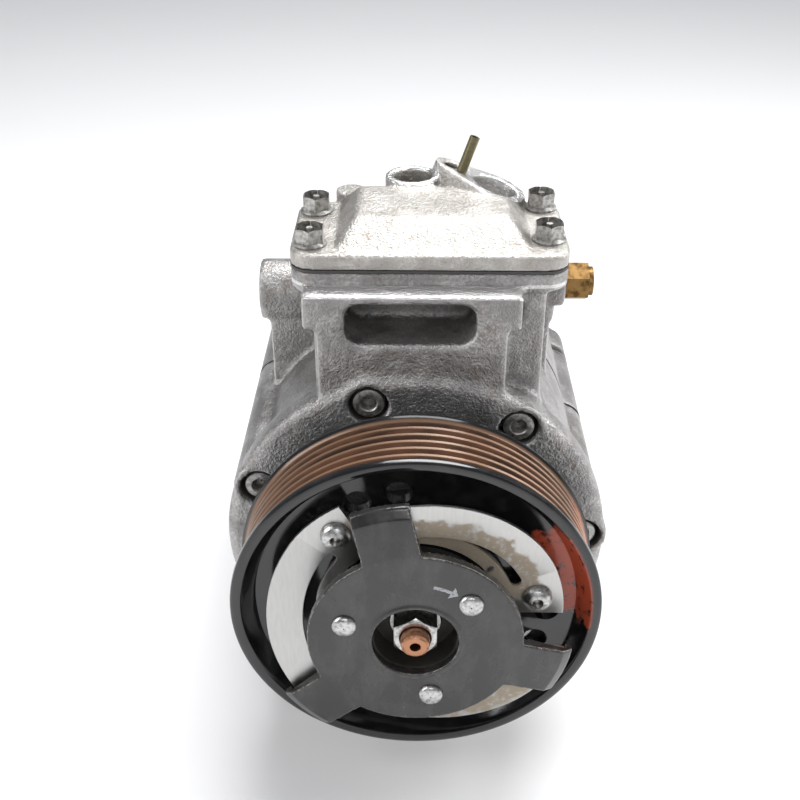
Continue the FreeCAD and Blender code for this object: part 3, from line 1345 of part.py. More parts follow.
node(coil("relief_spring_coil", CHEST - RELIEF_WIRE - 0.3, RELIEF_WIRE, relief_free / 6, 6,
          (relief_left + SEAT + POPPET + RELIEF_WIRE + 0.1, d.relief_y, d.relief_z), "X"),
     "relief_spring")

# ---------------------------------------------------------------- control valve

CONTROL_GROOVE = 1.5
control_radius = d.control_bore - d.running
body_front = control_front + 1
NECK = 7.0
CORE = 3.0


def control_tube(label, radius, front, rear):
    return rod(label, radius, rear - front, (0, front, d.control_z))


control_body = fuse("control_body_blank", [
    control_tube("control_nose", d.control_bore - 3.5, body_front, body_front + 8),
    control_tube("control_waist", control_radius, body_front + 8, control_rear),
])
groove_places = [body_front + 11.5, body_front + 18.5]
control_grooves = []
for index, y in enumerate(groove_places):
    outer = control_tube(f"control_groove_outer_{index}", d.control_bore + 1, y - CONTROL_GROOVE,
                         y + CONTROL_GROOVE)
    inner = control_tube(f"control_groove_inner_{index}", d.control_bore - 2.4,
                         y - CONTROL_GROOVE, y + CONTROL_GROOVE)
    control_grooves.append(cut(f"control_groove_{index}", outer, [inner]))
control_hollow = control_tube("control_hollow", CORE, body_front + 4, control_rear)
control_inlet = control_tube("control_inlet", 1.5, body_front, body_front + 4)
node(cut("control_body_cut", control_body, control_grooves + [control_hollow, control_inlet]),
     "control_valve_body")
node(group("control_o_ring_group",
           [ring(f"control_o_ring_{index}", d.control_bore - ORING, ORING, (0, y, d.control_z))
            for index, y in enumerate(groove_places)]), "control_valve_o_rings")
PLUNGER_LONG = 18.0
node(control_tube("control_plunger_rod", CORE - d.running, body_front + 4,
                  body_front + 4 + PLUNGER_LONG), "control_valve_plunger")
CONTROL_SPRING_TURNS = 4
CAN = 12.5
CAN_LONG = 13.0
can_rear = control_rear + CAN_LONG
control_free = can_rear - 3 - (body_front + 4 + PLUNGER_LONG) - 2 * RELIEF_WIRE - 0.2
node(coil("control_spring_coil", CORE - RELIEF_WIRE - 0.3, RELIEF_WIRE,
          control_free / CONTROL_SPRING_TURNS, CONTROL_SPRING_TURNS,
          (0, body_front + 4 + PLUNGER_LONG + RELIEF_WIRE + 0.1, d.control_z)),
     "control_valve_spring")
can_blank = control_tube("control_can", CAN, control_rear, can_rear)
can_hollow = control_tube("control_can_hollow", CORE, control_rear, can_rear - 3)
node(cut("control_can_cut", can_blank, [can_hollow]), "control_valve_coil")
PLUG_HALF = 8.0
PLUG_LONG = 14.0
plug_top = d.control_z - CAN + 2
plug_blank = block("plug_blank", (-PLUG_HALF, control_rear + 1, plug_top - PLUG_LONG),
                   (PLUG_HALF, can_rear - 1, plug_top))
plug_room = control_tube("plug_room", CAN, control_rear, can_rear)
plug_socket = block("plug_socket", (1.5 - PLUG_HALF, control_rear + 2.5, plug_top - PLUG_LONG),
                    (PLUG_HALF - 1.5, can_rear - 2.5, plug_top - 5))
plug_body = cut("plug_cut", plug_blank, [plug_room, plug_socket])
plug_pins = [rod(f"plug_pin_{side}", 0.6, 7.0,
                 (side * 4.2, (control_rear + can_rear) / 2, plug_top - 12), "Z")
             for side in (-1, 1)]
node(fuse("plug_fused", [plug_body] + plug_pins), "control_valve_connector")
ring_front = control_rear - CONTROL_RING
ring_outer = control_tube("control_ring_outer", d.control_bore + CONTROL_RING_WIDE, ring_front,
                          control_rear)
ring_inner = control_tube("control_ring_inner", d.control_bore, ring_front, control_rear)
node(cut("control_ring_cut", ring_outer, [ring_inner]), "control_valve_snap_ring")

# ---------------------------------------------------------------- check and write

doc.recompute()
problems = []
for thing in doc.Objects:
    if "Invalid" in thing.State or "Error" in thing.State:
        problems.append(f"{thing.Label}: {thing.State}")
for piece in nodes:
    if piece.Shape.isNull() or not piece.Shape.isValid():
        problems.append(f"{piece.Label}: bad shape")
    elif not piece.Shape.Solids:
        problems.append(f"{piece.Label}: no solid")
if problems:
    raise RuntimeError("; ".join(problems))
labels = [piece.Label for piece in nodes]
if len(set(labels)) != len(labels):
    raise RuntimeError("two nodes share a name")
for piece in nodes:
    piece.Shape.exportStep(f"parts/{piece.Label}.step")
print(f"{len(nodes)} nodes written")
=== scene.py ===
import math
import bpy
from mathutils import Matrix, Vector


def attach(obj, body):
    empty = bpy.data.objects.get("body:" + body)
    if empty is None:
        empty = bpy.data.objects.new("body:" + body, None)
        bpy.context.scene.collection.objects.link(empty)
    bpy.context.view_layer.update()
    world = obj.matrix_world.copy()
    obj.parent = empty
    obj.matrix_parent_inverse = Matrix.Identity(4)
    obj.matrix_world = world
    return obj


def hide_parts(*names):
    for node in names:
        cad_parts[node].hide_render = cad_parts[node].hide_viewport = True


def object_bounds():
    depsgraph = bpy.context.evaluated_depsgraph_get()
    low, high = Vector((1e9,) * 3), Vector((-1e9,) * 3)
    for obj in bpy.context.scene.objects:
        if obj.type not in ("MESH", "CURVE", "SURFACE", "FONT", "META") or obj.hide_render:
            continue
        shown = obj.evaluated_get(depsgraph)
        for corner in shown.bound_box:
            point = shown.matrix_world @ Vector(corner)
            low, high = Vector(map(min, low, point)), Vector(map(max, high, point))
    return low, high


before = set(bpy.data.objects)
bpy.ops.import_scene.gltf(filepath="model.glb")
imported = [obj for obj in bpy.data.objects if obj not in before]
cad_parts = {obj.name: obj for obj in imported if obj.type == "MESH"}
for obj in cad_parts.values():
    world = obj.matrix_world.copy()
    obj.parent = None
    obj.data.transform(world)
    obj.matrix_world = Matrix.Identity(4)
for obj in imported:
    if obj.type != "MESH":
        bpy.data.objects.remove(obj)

cad_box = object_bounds()
MM = 0.001


# ---- Studio ----------------------------------------------------------------------------
# A plain pale floor under the mounting feet, a large soft light overhead, a weaker one from
# the left and a strip on the right that gives the castings and the pulley their bright edge.
FLOOR_LEVEL = cad_box[0].z
FLOOR_SIZE = 14.0
CAMERA_PLACE = (-1.3 * MM, -263.8 * MM, 231.2 * MM)
CAMERA_TURN = (math.radians(58.4), 0.0, math.radians(0.78))
CAMERA_LENS = 49.1


def clear_selection():
    if bpy.context.mode != "OBJECT":
        bpy.ops.object.mode_set(mode="OBJECT")
    bpy.ops.object.select_all(action="DESELECT")


class Finish:
    """A material made of nodes that reads the part's own coordinates."""

    def __init__(self, name, colour, metal, rough, coat=0.0):
        self.material = bpy.data.materials.new(name)
        self.material.use_nodes = True
        self.tree = self.material.node_tree
        self.shader = self.tree.nodes["Principled BSDF"]
        self.shader.inputs["Base Color"].default_value = (*colour, 1.0)
        self.shader.inputs["Metallic"].default_value = metal
        self.shader.inputs["Roughness"].default_value = rough
        self.shader.inputs["Coat Weight"].default_value = coat
        self.shader.inputs["Coat Roughness"].default_value = 0.08
        self.place = self.add("ShaderNodeTexCoord").outputs["Object"]
        self.last_bump = None

    def add(self, kind, **settings):
        made = self.tree.nodes.new(kind)
        for setting, value in settings.items():
            setattr(made, setting, value)
        return made

    def plug(self, target, value):
        if isinstance(value, bpy.types.NodeSocket):
            self.tree.links.new(value, target)
        elif isinstance(value, tuple) and len(value) == 3 and target.type == "RGBA":
            target.default_value = (*value, 1.0)
        else:
            target.default_value = value

    def work(self, operation, first, second=0.0, third=0.0):
        made = self.add("ShaderNodeMath", operation=operation)
        for target, value in zip(made.inputs, (first, second, third)):
            self.plug(target, value)
        return made.outputs[0]

    def along(self, letter):
        return self.add_split().outputs[letter]

    def add_split(self):
        made = self.add("ShaderNodeSeparateXYZ")
        self.plug(made.inputs[0], self.place)
        return made

    def span(self, value, low, high):
        """0 at low and 1 at high."""
        made = self.add("ShaderNodeMapRange", clamp=True, interpolation_type="SMOOTHSTEP")
        for target, part in zip(made.inputs, (value, low, high, 0.0, 1.0)):
            self.plug(target, part)
        return made.outputs[0]

    def between(self, value, low, high, soft):
        """1 between low and high, with soft ends."""
        up = self.span(value, low - soft, low + soft)
        down = self.span(value, high + soft, high - soft)
        return self.work("MULTIPLY", up, down)

    def grain(self, size, detail=4.0, rough=0.6, stretch=(1.0, 1.0, 1.0)):
        """Noise whose lumps are about size metres across."""
        scaled = self.add("ShaderNodeMapping")
        self.plug(scaled.inputs["Vector"], self.place)
        scaled.inputs["Scale"].default_value = tuple(1.0 / (size * part) for part in stretch)
        made = self.add("ShaderNodeTexNoise", noise_dimensions="3D")
        self.plug(made.inputs["Vector"], scaled.outputs[0])
        made.inputs["Scale"].default_value = 1.0
        made.inputs["Detail"].default_value = detail
        made.inputs["Roughness"].default_value = rough
        return made.outputs["Fac"]

    def pits(self, size):
        scaled = self.add("ShaderNodeMapping")
        self.plug(scaled.inputs["Vector"], self.place)
        scaled.inputs["Scale"].default_value = (1.0 / size,) * 3
        made = self.add("ShaderNodeTexVoronoi", feature="SMOOTH_F1")
        self.plug(made.inputs["Vector"], scaled.outputs[0])
        made.inputs["Scale"].default_value = 1.0
        return made.outputs["Distance"]

    def mix(self, first, second, share):
        made = self.add("ShaderNodeMix", data_type="RGBA")
        self.plug(made.inputs["Factor"], share)
        self.plug(made.inputs[6], first)
        self.plug(made.inputs[7], second)
        return made.outputs[2]

    def blend(self, first, second, share):
        """A number between two others."""
        made = self.add("ShaderNodeMix", data_type="FLOAT")
        self.plug(made.inputs[0], share)
        self.plug(made.inputs[2], first)
        self.plug(made.inputs[3], second)
        return made.outputs[0]

    def shaft_radius(self):
        split = self.add_split()
        square = self.work("MULTIPLY", split.outputs["X"], split.outputs["X"])
        total = self.work("MULTIPLY_ADD", split.outputs["Z"], split.outputs["Z"], square)
        return self.work("SQRT", total)

    def shaft_angle(self):
        """Degrees round the shaft, anticlockwise from +X as seen from the pulley."""
        split = self.add_split()
        turn = self.work("ARCTAN2", split.outputs["Z"], split.outputs["X"])
        return self.work("MULTIPLY", turn, 180.0 / math.pi)

    def crevice(self, reach):
        """1 in corners and under overhangs, by ambient occlusion: a mask for painted shade, and
        for the pulley's dust.
        """
        made = self.add("ShaderNodeAmbientOcclusion", samples=6)
        made.inputs["Distance"].default_value = reach
        return self.span(made.outputs["AO"], 0.85, 0.25)

    def edge(self, reach):
        """1 along worn outside edges."""
        made = self.add("ShaderNodeBevel", samples=4)
        made.inputs["Radius"].default_value = reach
        true = self.add("ShaderNodeNewGeometry")
        dot = self.add("ShaderNodeVectorMath", operation="DOT_PRODUCT")
        self.plug(dot.inputs[0], made.outputs["Normal"])
        self.plug(dot.inputs[1], true.outputs["True Normal"])
        return self.span(dot.outputs["Value"], 0.985, 0.86)

    def round_edges(self, reach):
        made = self.add("ShaderNodeBevel", samples=4)
        made.inputs["Radius"].default_value = reach
        self.last_bump = made.outputs["Normal"]
        self.plug(self.shader.inputs["Normal"], made.outputs["Normal"])

    def bump(self, height, distance, strength=1.0):
        made = self.add("ShaderNodeBump")
        made.inputs["Distance"].default_value = distance
        made.inputs["Strength"].default_value = strength
        self.plug(made.inputs["Height"], height)
        if self.last_bump is not None:
            self.plug(made.inputs["Normal"], self.last_bump)
        self.last_bump = made.outputs["Normal"]
        self.plug(self.shader.inputs["Normal"], made.outputs["Normal"])

    def colour(self, value):
        self.plug(self.shader.inputs["Base Color"], value)

    def rough(self, value):
        self.plug(self.shader.inputs["Roughness"], value)

    def metal(self, value):
        self.plug(self.shader.inputs["Metallic"], value)


def coat(names, finish):
    """Gives CAD nodes their finish."""
    for name in names:
        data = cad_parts[name].data
        data.materials.clear()
        data.materials.append(finish.material)


clear_selection()
bpy.ops.mesh.primitive_plane_add(size=FLOOR_SIZE, location=(0, 0, FLOOR_LEVEL))
floor = bpy.context.object
floor.name = "studio_floor"
floor_finish = Finish("pale_floor", (0.86, 0.86, 0.87), 0.0, 0.35)
floor_mottle = floor_finish.grain(0.25)
floor_finish.colour(floor_finish.mix((0.84, 0.84, 0.85), (0.88, 0.88, 0.885), floor_mottle))
floor.data.materials.append(floor_finish.material)

world = bpy.data.worlds.new("studio")
world.use_nodes = True
world.node_tree.nodes["Background"].inputs["Color"].default_value = (0.93, 0.95, 1.0, 1.0)
world.node_tree.nodes["Background"].inputs["Strength"].default_value = 0.30
bpy.context.scene.world = world


def soft_light(name, place, aim, size, power):
    bpy.ops.object.light_add(type="AREA", location=place)
    light = bpy.context.object
    light.name = name
    light.data.shape = "RECTANGLE"
    light.data.size, light.data.size_y = size
    light.data.energy = power
    light.rotation_euler = (Vector(aim) - Vector(place)).to_track_quat("-Z", "Y").to_euler()


soft_light("overhead_light", (0.10, 0.45, 0.95), (0.0, 0.03, 0.03), (0.8, 0.4), 8.0)
soft_light("left_light", (-0.75, -0.25, 0.50), (0.0, 0.0, 0.02), (0.25, 0.7), 4.0)
soft_light("right_light", (0.75, 0.15, 0.45), (0.03, 0.05, 0.02), (0.2, 0.7), 5.0)
soft_light("front_light", (0.10, -0.95, 0.75), (0.0, 0.0, 0.0), (0.6, 0.25), 3.0)
bpy.ops.object.light_add(type="SUN", rotation=(math.radians(-28), math.radians(10), 0))
sun = bpy.context.object
sun.name = "window_light"
sun.data.energy = 1.15
sun.data.angle = math.radians(35)

camera = bpy.data.objects.new("camera", bpy.data.cameras.new("camera"))
bpy.context.scene.collection.objects.link(camera)
camera.location = CAMERA_PLACE
camera.rotation_euler = CAMERA_TURN
camera.data.lens = CAMERA_LENS
camera.data.sensor_width = 36.0
camera.data.clip_start = 0.01
bpy.context.scene.camera = camera
bpy.context.scene.view_settings.view_transform = "Standard"


# ---- Castings --------------------------------------------------------------------------
# Front housing, cylinder block, rear head and muffler cover: sand-cast and die-cast
# aluminium with rounded corners, machined on the joint faces. Each is its CAD solid merged,
# with its corners softened as the mould leaves them.
BAR_TOP = 89.5 * MM
PORT_SEAT = Vector((25.0, 75.0, 105.0))
PORT_LEAN = math.radians(19.3)
PORT_NORMAL = (math.sin(PORT_LEAN), 0.0, math.cos(PORT_LEAN))
OUTLET_SEAT = (-1.8, 79.5, 107.0)


def cast_finish(name, light, dark, dirt, bright_faces):
    finish = Finish(name, light, 0.9, 0.4)
    sand = finish.grain(0.8 * MM, detail=2.0, rough=0.6)
    skin = finish.grain(2.2 * MM, detail=4.0, rough=0.65)
    patches = finish.grain(12 * MM, detail=6.0, rough=0.68)
    stains = finish.grain(7 * MM, detail=7.0, rough=0.75)
    specks = finish.span(sand, 0.50, 0.38)
    # Painted highlight: bright glints are painted on the sand grain's high points to stand for
    # the casting's sparkle.
    glints = finish.span(sand, 0.56, 0.66)
    base = finish.mix(dark, light, finish.span(patches, 0.40, 0.60))
    base = finish.mix(base, dirt, finish.work("MULTIPLY", finish.span(stains, 0.52, 0.70), 0.6))
    base = finish.mix(base, dark, finish.work("MULTIPLY", specks, 0.6))
    glint_share = finish.work("MULTIPLY", glints, finish.span(patches, 0.42, 0.62))
    base = finish.mix(base, (0.80, 0.79, 0.77), finish.work("MULTIPLY", glint_share, 0.35))
    # Painted shade: an ambient occlusion mask darks corners and spots under overhangs nearly to
    # black and makes them less metallic.
    corner_shade = finish.work("MULTIPLY", finish.crevice(10 * MM), 0.85)
    base = finish.mix(base, (0.035, 0.030, 0.024), corner_shade)
    worn = finish.work("MULTIPLY", finish.edge(1.0 * MM), 0.7)
    base = finish.mix(base, (0.86, 0.85, 0.83), worn)
    base = finish.mix(base, (0.66, 0.65, 0.64), bright_faces(finish))
    finish.colour(base)
    finish.metal(finish.blend(0.9, 0.3, corner_shade))
    finish.rough(finish.blend(finish.blend(0.33, 0.52, patches), 0.24, bright_faces(finish)))
    finish.bump(skin, 0.8 * MM, 0.6)
    finish.bump(sand, 0.5 * MM, 0.8)
    return finish


def housing_machined(finish):
    """The bar's milled top edge."""
    split = finish.add_split()
    top = finish.span(split.outputs["Z"], BAR_TOP - 0.9 * MM, BAR_TOP - 0.5 * MM)
    near = finish.span(split.outputs["Z"], BAR_TOP + 0.6 * MM, BAR_TOP + 0.3 * MM)
    front = finish.span(split.outputs["Y"], 47 * MM, 45 * MM)
    return finish.work("MULTIPLY", finish.work("MULTIPLY", top, near), front)


def apart(finish, centre):
    """Distance from a point given in millimetres."""
    made = finish.add("ShaderNodeVectorMath", operation="DISTANCE")
    finish.plug(made.inputs[0], finish.place)
    made.inputs[1].default_value = [part * MM for part in centre]
    return made.outputs["Value"]


def port_faces(finish):
    """The machined seats and bores of the two ports."""
    height = finish.add("ShaderNodeVectorMath", operation="DOT_PRODUCT")
    finish.plug(height.inputs[0], finish.place)
    height.inputs[1].default_value = PORT_NORMAL
    seat_height = PORT_SEAT.dot(Vector(PORT_NORMAL)) * MM
    suction = finish.work(
        "MULTIPLY",
        finish.span(height.outputs["Value"], seat_height - 0.7 * MM, seat_height - 0.3 * MM),
        finish.span(apart(finish, PORT_SEAT), 11.0 * MM, 10.6 * MM))
    bore = finish.span(apart(finish, PORT_SEAT), 9.6 * MM, 8.8 * MM)
    discharge = finish.span(apart(finish, OUTLET_SEAT), 9.2 * MM, 8.9 * MM)
    discharge = finish.work("MULTIPLY", discharge,
                            finish.span(finish.along("Z"), 106.0 * MM, 106.5 * MM))
    return finish.work("MAXIMUM", finish.work("MAXIMUM", suction, bore), discharge)


housing_cast = cast_finish("housing_cast", (0.44, 0.43, 0.42), (0.30, 0.29, 0.285),
                           (0.17, 0.13, 0.095), housing_machined)
cover_cast = cast_finish("cover_cast", (0.57, 0.55, 0.52), (0.43, 0.41, 0.385),
                         (0.22, 0.165, 0.115), port_faces)


def softened(name, node, voxel, rounds, keep, finish, body="housing"):
    """The node's solid with softened corners."""
    clear_selection()
    piece = bpy.data.objects.new(name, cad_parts[node].data.copy())
    bpy.context.scene.collection.objects.link(piece)
    bpy.context.view_layer.objects.active = piece
    piece.select_set(True)
    bpy.ops.object.mode_set(mode="EDIT")
    bpy.ops.mesh.select_all(action="SELECT")
    bpy.ops.mesh.remove_doubles(threshold=0.002 * MM)
    bpy.ops.object.mode_set(mode="OBJECT")
    remesh = piece.modifiers.new("mould", "REMESH")
    remesh.mode = "VOXEL"
    remesh.voxel_size = voxel
    bpy.ops.object.modifier_apply(modifier=remesh.name)
    soften = piece.modifiers.new("soften", "SMOOTH")
    soften.factor = 0.5
    soften.iterations = rounds
    bpy.ops.object.modifier_apply(modifier=soften.name)
    if keep < 1.0:
        thin = piece.modifiers.new("thin", "DECIMATE")
        thin.ratio = keep
        bpy.ops.object.modifier_apply(modifier=thin.name)
    bpy.ops.object.shade_smooth()
    piece.data.materials.clear()
    piece.data.materials.append(finish.material)
    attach(piece, body)
    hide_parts(node)
    return piece


softened("front_casting", "front_housing", 1.0 * MM, 5, 0.75, housing_cast)
softened("cover_casting", "muffler_cover", 0.7 * MM, 5, 1.0, cover_cast)
softened("block_casting", "cylinder_block", 1.2 * MM, 3, 0.7, housing_cast)
softened("head_casting", "rear_head", 1.2 * MM, 5, 0.9, housing_cast)


# ---- Pulley ----------------------------------------------------------------------------
# A steel pulley spun to shape with six rolled belt grooves and a perforated web. It is
# painted gloss black; the belt has polished the paint off the grooves, which are rusty.
pulley_paint = Finish("pulley_paint", (0.008, 0.008, 0.009), 0.0, 0.14, coat=0.3)
radius = pulley_paint.shaft_radius()
depth = pulley_paint.along("Y")
angle = pulley_paint.shaft_angle()
in_grooves = pulley_paint.work(
    "MULTIPLY",
    pulley_paint.between(depth, -10.9 * MM, 10.9 * MM, 0.25 * MM),
    pulley_paint.between(radius, 52.58 * MM, 56.4 * MM, 0.05 * MM))
rust_rings = pulley_paint.grain(2.5 * MM, detail=5.0, stretch=(6.0, 0.5, 6.0))
groove_colour = pulley_paint.mix((0.05, 0.024, 0.013), (0.17, 0.078, 0.04),
                        pulley_paint.span(rust_rings, 0.35, 0.65))
# Painted highlight: the rib tips are coloured lighter, for the light they catch; the rest of the
# groove colour is rust and a paint mark.
rib_tip_highlight = pulley_paint.span(radius, 54.5 * MM, 55.3 * MM)
groove_colour = pulley_paint.mix(groove_colour, (0.24, 0.14, 0.085), pulley_paint.work("MULTIPLY", rib_tip_highlight, 0.8))
red_side = pulley_paint.work(
    "MULTIPLY",
    pulley_paint.between(angle, -12.0, 24.0, 9.0),
    pulley_paint.span(pulley_paint.grain(7 * MM), 0.4, 0.55))
groove_colour = pulley_paint.mix(groove_colour, (0.62, 0.17, 0.06), pulley_paint.work("MULTIPLY", red_side, 0.75))
paint = pulley_paint.mix((0.006, 0.006, 0.007), (0.016, 0.016, 0.016),
                         pulley_paint.span(pulley_paint.grain(5 * MM), 0.45, 0.7))
patch_edge = pulley_paint.work("MULTIPLY_ADD", pulley_paint.grain(5 * MM), 14.0, angle)
red_patch = pulley_paint.work(
    "MULTIPLY",
    pulley_paint.between(patch_edge, 2.0, 42.0, 1.5),
    pulley_paint.work("MULTIPLY",
                      pulley_paint.between(radius, 43.0 * MM, 54.6 * MM, 0.15 * MM),
                      pulley_paint.between(depth, -13.4 * MM, -6.2 * MM, 0.2 * MM)))
red_patch = pulley_paint.work("MULTIPLY", red_patch,
                              pulley_paint.span(pulley_paint.grain(3 * MM), 0.3, 0.5))
paint = pulley_paint.mix(paint, (0.36, 0.055, 0.02), red_patch)
dust = pulley_paint.work("MULTIPLY", pulley_paint.crevice(6 * MM),
                         pulley_paint.span(pulley_paint.grain(2 * MM), 0.45, 0.75))
paint = pulley_paint.mix(paint, (0.22, 0.20, 0.17), pulley_paint.work("MULTIPLY", dust, 0.35))
pulley_paint.colour(pulley_paint.mix(paint, groove_colour, in_grooves))
pulley_paint.metal(pulley_paint.work("MULTIPLY", in_grooves, 0.35))
pulley_paint.rough(pulley_paint.blend(pulley_paint.blend(0.14, 0.45, red_patch), 0.42,
                                      in_grooves))
pulley_paint.bump(rust_rings, 0.05 * MM, 0.3)

RIM = 57.0
RIB = 55.3
PITCH = 3.56
GROOVES = 6
profile = [(50.3, -2.5), (50.3, 12.5), (56.3, 12.5), (56.5, 12.2), (56.5, 11.4), (RIB, 10.68)]
for rib in range(GROOVES - 1, -1, -1):
    middle = PITCH * (rib - (GROOVES - 1) / 2)
    profile += [(RIB - 0.25, middle + 1.3), (RIB - 2.5, middle + 0.35), (RIB - 2.65, middle),
                (RIB - 2.5, middle - 0.35), (RIB - 0.25, middle - 1.3), (RIB, middle - 1.62)]
profile += [(RIB, -10.68), (56.6, -11.2), (RIM, -11.7), (RIM, -12.5), (56.8, -13.05),
            (56.3, -13.4), (55.7, -13.5), (54.4, -13.5), (53.7, -13.3), (53.3, -12.8),
            (52.9, -11.6), (50.9, -8.4), (50.35, -7.2), (49.8, -6.6), (49.0, -6.5),
            (29.6, -6.5), (29.0, -6.8), (29.0, -9.1), (28.7, -9.4), (23.6, -9.4),
            (23.6, -8.0), (25.0, -8.0), (25.0, 12.0), (29.0, 12.0), (29.0, -2.5)]


def lathe(name, corners, steps):
    """Turns (radius, place along the shaft) corners into a closed ring, in millimetres."""
    clear_selection()
    first_radius, first_place = corners[0]
    bpy.ops.mesh.primitive_circle_add(vertices=steps, radius=first_radius * MM,
                                      rotation=(math.radians(90), 0, 0),
                                      location=(0, first_place * MM, 0))
    piece = bpy.context.object
    piece.name = name
    bpy.ops.object.transform_apply(location=True, rotation=True, scale=True)
    bpy.ops.object.mode_set(mode="EDIT")
    bpy.ops.mesh.select_all(action="SELECT")
    last_radius, last_place = corners[0]
    for next_radius, next_place in corners[1:] + corners[:1]:
        bpy.ops.mesh.extrude_region_move(
            TRANSFORM_OT_translate={"value": (0, (next_place - last_place) * MM, 0)})
        share = next_radius / last_radius
        bpy.ops.transform.resize(value=(share, 1, share),
                                 center_override=(0, next_place * MM, 0))
        last_radius, last_place = next_radius, next_place
    bpy.ops.mesh.select_all(action="SELECT")
    bpy.ops.mesh.remove_doubles(threshold=0.004 * MM)
    bpy.ops.mesh.normals_make_consistent(inside=False)
    bpy.ops.object.mode_set(mode="OBJECT")
    return piece


def carve(piece, tool, operation="DIFFERENCE"):
    """Cuts a tool out of a piece, or keeps what they share, and removes the tool."""
    clear_selection()
    bpy.context.view_layer.objects.active = piece
    piece.select_set(True)
    step = piece.modifiers.new("carve", "BOOLEAN")
    step.operation = operation
    step.object = tool
    step.solver = "EXACT"
    bpy.ops.object.modifier_apply(modifier=step.name)
    bpy.data.objects.remove(tool)


def join(pieces):
    clear_selection()
    for piece in pieces:
        piece.select_set(True)
    bpy.context.view_layer.objects.active = pieces[0]
    bpy.ops.object.join()
    return pieces[0]


def polish(piece, name, finish, body, nodes, width=0.0, limit=30.0, steps=2):
    """Breaks the sharp edges, shades the piece smooth and hands it to its body."""
    clear_selection()
    bpy.context.view_layer.objects.active = piece
    piece.select_set(True)
    if width:
        broken = piece.modifiers.new("broken_edges", "BEVEL")
        broken.width = width
        broken.segments = steps
        broken.limit_method = "ANGLE"
        broken.angle_limit = math.radians(limit)
        broken.harden_normals = False
        bpy.ops.object.modifier_apply(modifier=broken.name)
    bpy.ops.object.shade_smooth_by_angle(angle=math.radians(limit))
    piece.name = name
    piece.data.name = name
    piece.data.materials.clear()
    piece.data.materials.append(finish.material)
    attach(piece, body)
    if nodes:
        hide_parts(*nodes)
    return piece


def on_circle(count, first, ring):
    """Places round the shaft, as (angle, x, z) in degrees and millimetres."""
    for index in range(count):
        turn = first + 360.0 * index / count
        yield turn, ring * math.cos(math.radians(turn)), ring * math.sin(math.radians(turn))


def shaft_rod(radius, place, front, rear, steps=24):
    """A plain round bar along the shaft, used as a start or a cutter."""
    clear_selection()
    bpy.ops.mesh.primitive_cylinder_add(vertices=steps, radius=radius * MM,
                                        depth=(rear - front) * MM,
                                        rotation=(math.radians(90), 0, 0),
                                        location=(place[0] * MM, (front + rear) / 2 * MM,
                                                  place[1] * MM))
    bpy.ops.object.transform_apply(location=True, rotation=True, scale=True)
    return bpy.context.object


SCREW_RING = 37.5
SCREW_FIRST = 9.0
wheel = lathe("pulley_wheel", profile, 160)
drills = []
for turn, x, z in on_circle(3, SCREW_FIRST, SCREW_RING):
    for hole in range(2):
        at = math.radians(turn + 88.1 + 17.5 * hole)
        drills.append(shaft_rod(4.0, (41.3 * math.cos(at), 41.3 * math.sin(at)), -9, 0, 24))
carve(wheel, join(drills))
posts = []
for turn, x, z in on_circle(3, SCREW_FIRST, SCREW_RING):
    post = shaft_rod(6.2, (x, z), -10.5, -3.0, 32)
    posts.append(post)
wheel = join([wheel] + posts)
polish(wheel, "pulley_wheel", pulley_paint, "rotor", ["pulley"], limit=32.0)


# ---- Pulley bearing --------------------------------------------------------------------
# A double-row ball bearing between the pulley and the housing's nose: ground steel races
# and balls, a nylon cage and two rubber seals, held on the nose by a snap ring.
ground_steel = Finish("ground_steel", (0.62, 0.62, 0.63), 1.0, 0.18)
rings = ground_steel.grain(0.5 * MM, detail=2.0, stretch=(8.0, 0.4, 8.0))
ground_steel.colour(ground_steel.mix((0.48, 0.48, 0.49), (0.72, 0.72, 0.73), rings))
ground_steel.rough(ground_steel.blend(0.14, 0.30, rings))
ground_steel.round_edges(0.25 * MM)
coat(["pulley_outer_race", "pulley_inner_race", "pulley_bearing_balls", "front_needle_shell",
      "front_needle_rollers", "rear_needle_shell", "rear_needle_rollers", "thrust_bearing",
      "hinge_pin", "piston_shoes", "control_valve_plunger"], ground_steel)

nylon = Finish("nylon", (0.62, 0.55, 0.40), 0.0, 0.5)
nylon_mottle = nylon.grain(1.5 * MM)
nylon.colour(nylon.mix((0.50, 0.43, 0.30), (0.68, 0.61, 0.46), nylon_mottle))
nylon.bump(nylon_mottle, 0.05 * MM, 0.4)
coat(["pulley_bearing_cage"], nylon)

seal_rubber = Finish("seal_rubber", (0.02, 0.02, 0.02), 0.0, 0.6)
rubber_grain = seal_rubber.grain(0.5 * MM, detail=3.0)
seal_rubber.colour(seal_rubber.mix((0.012, 0.012, 0.012), (0.045, 0.043, 0.040), rubber_grain))
seal_rubber.rough(seal_rubber.blend(0.5, 0.75, rubber_grain))
seal_rubber.bump(rubber_grain, 0.04 * MM, 0.5)
coat(["pulley_bearing_seals", "shaft_seal", "block_o_ring", "control_valve_o_rings",
      "relief_poppet"], seal_rubber)

dark_steel = Finish("dark_steel", (0.12, 0.12, 0.12), 1.0, 0.35)
oil_film = dark_steel.grain(2 * MM, detail=4.0)
dark_steel.colour(dark_steel.mix((0.08, 0.078, 0.075), (0.22, 0.21, 0.20), oil_film))
dark_steel.rough(dark_steel.blend(0.25, 0.5, oil_film))
dark_steel.round_edges(0.3 * MM)
coat(["nose_snap_rings", "swash_sleeve", "shaft_stop_ring", "valve_plate",
      "control_valve_snap_ring"], dark_steel)

hub_paint = Finish("hub_paint", (0.012, 0.012, 0.012), 0.0, 0.5)
hub_film = hub_paint.grain(1.6 * MM, detail=5.0)
hub_paint.colour(hub_paint.mix((0.008, 0.008, 0.008), (0.05, 0.042, 0.033), hub_film))
hub_paint.rough(hub_paint.blend(0.35, 0.7, hub_film))
hub_paint.round_edges(0.4 * MM)
coat(["hub"], hub_paint)


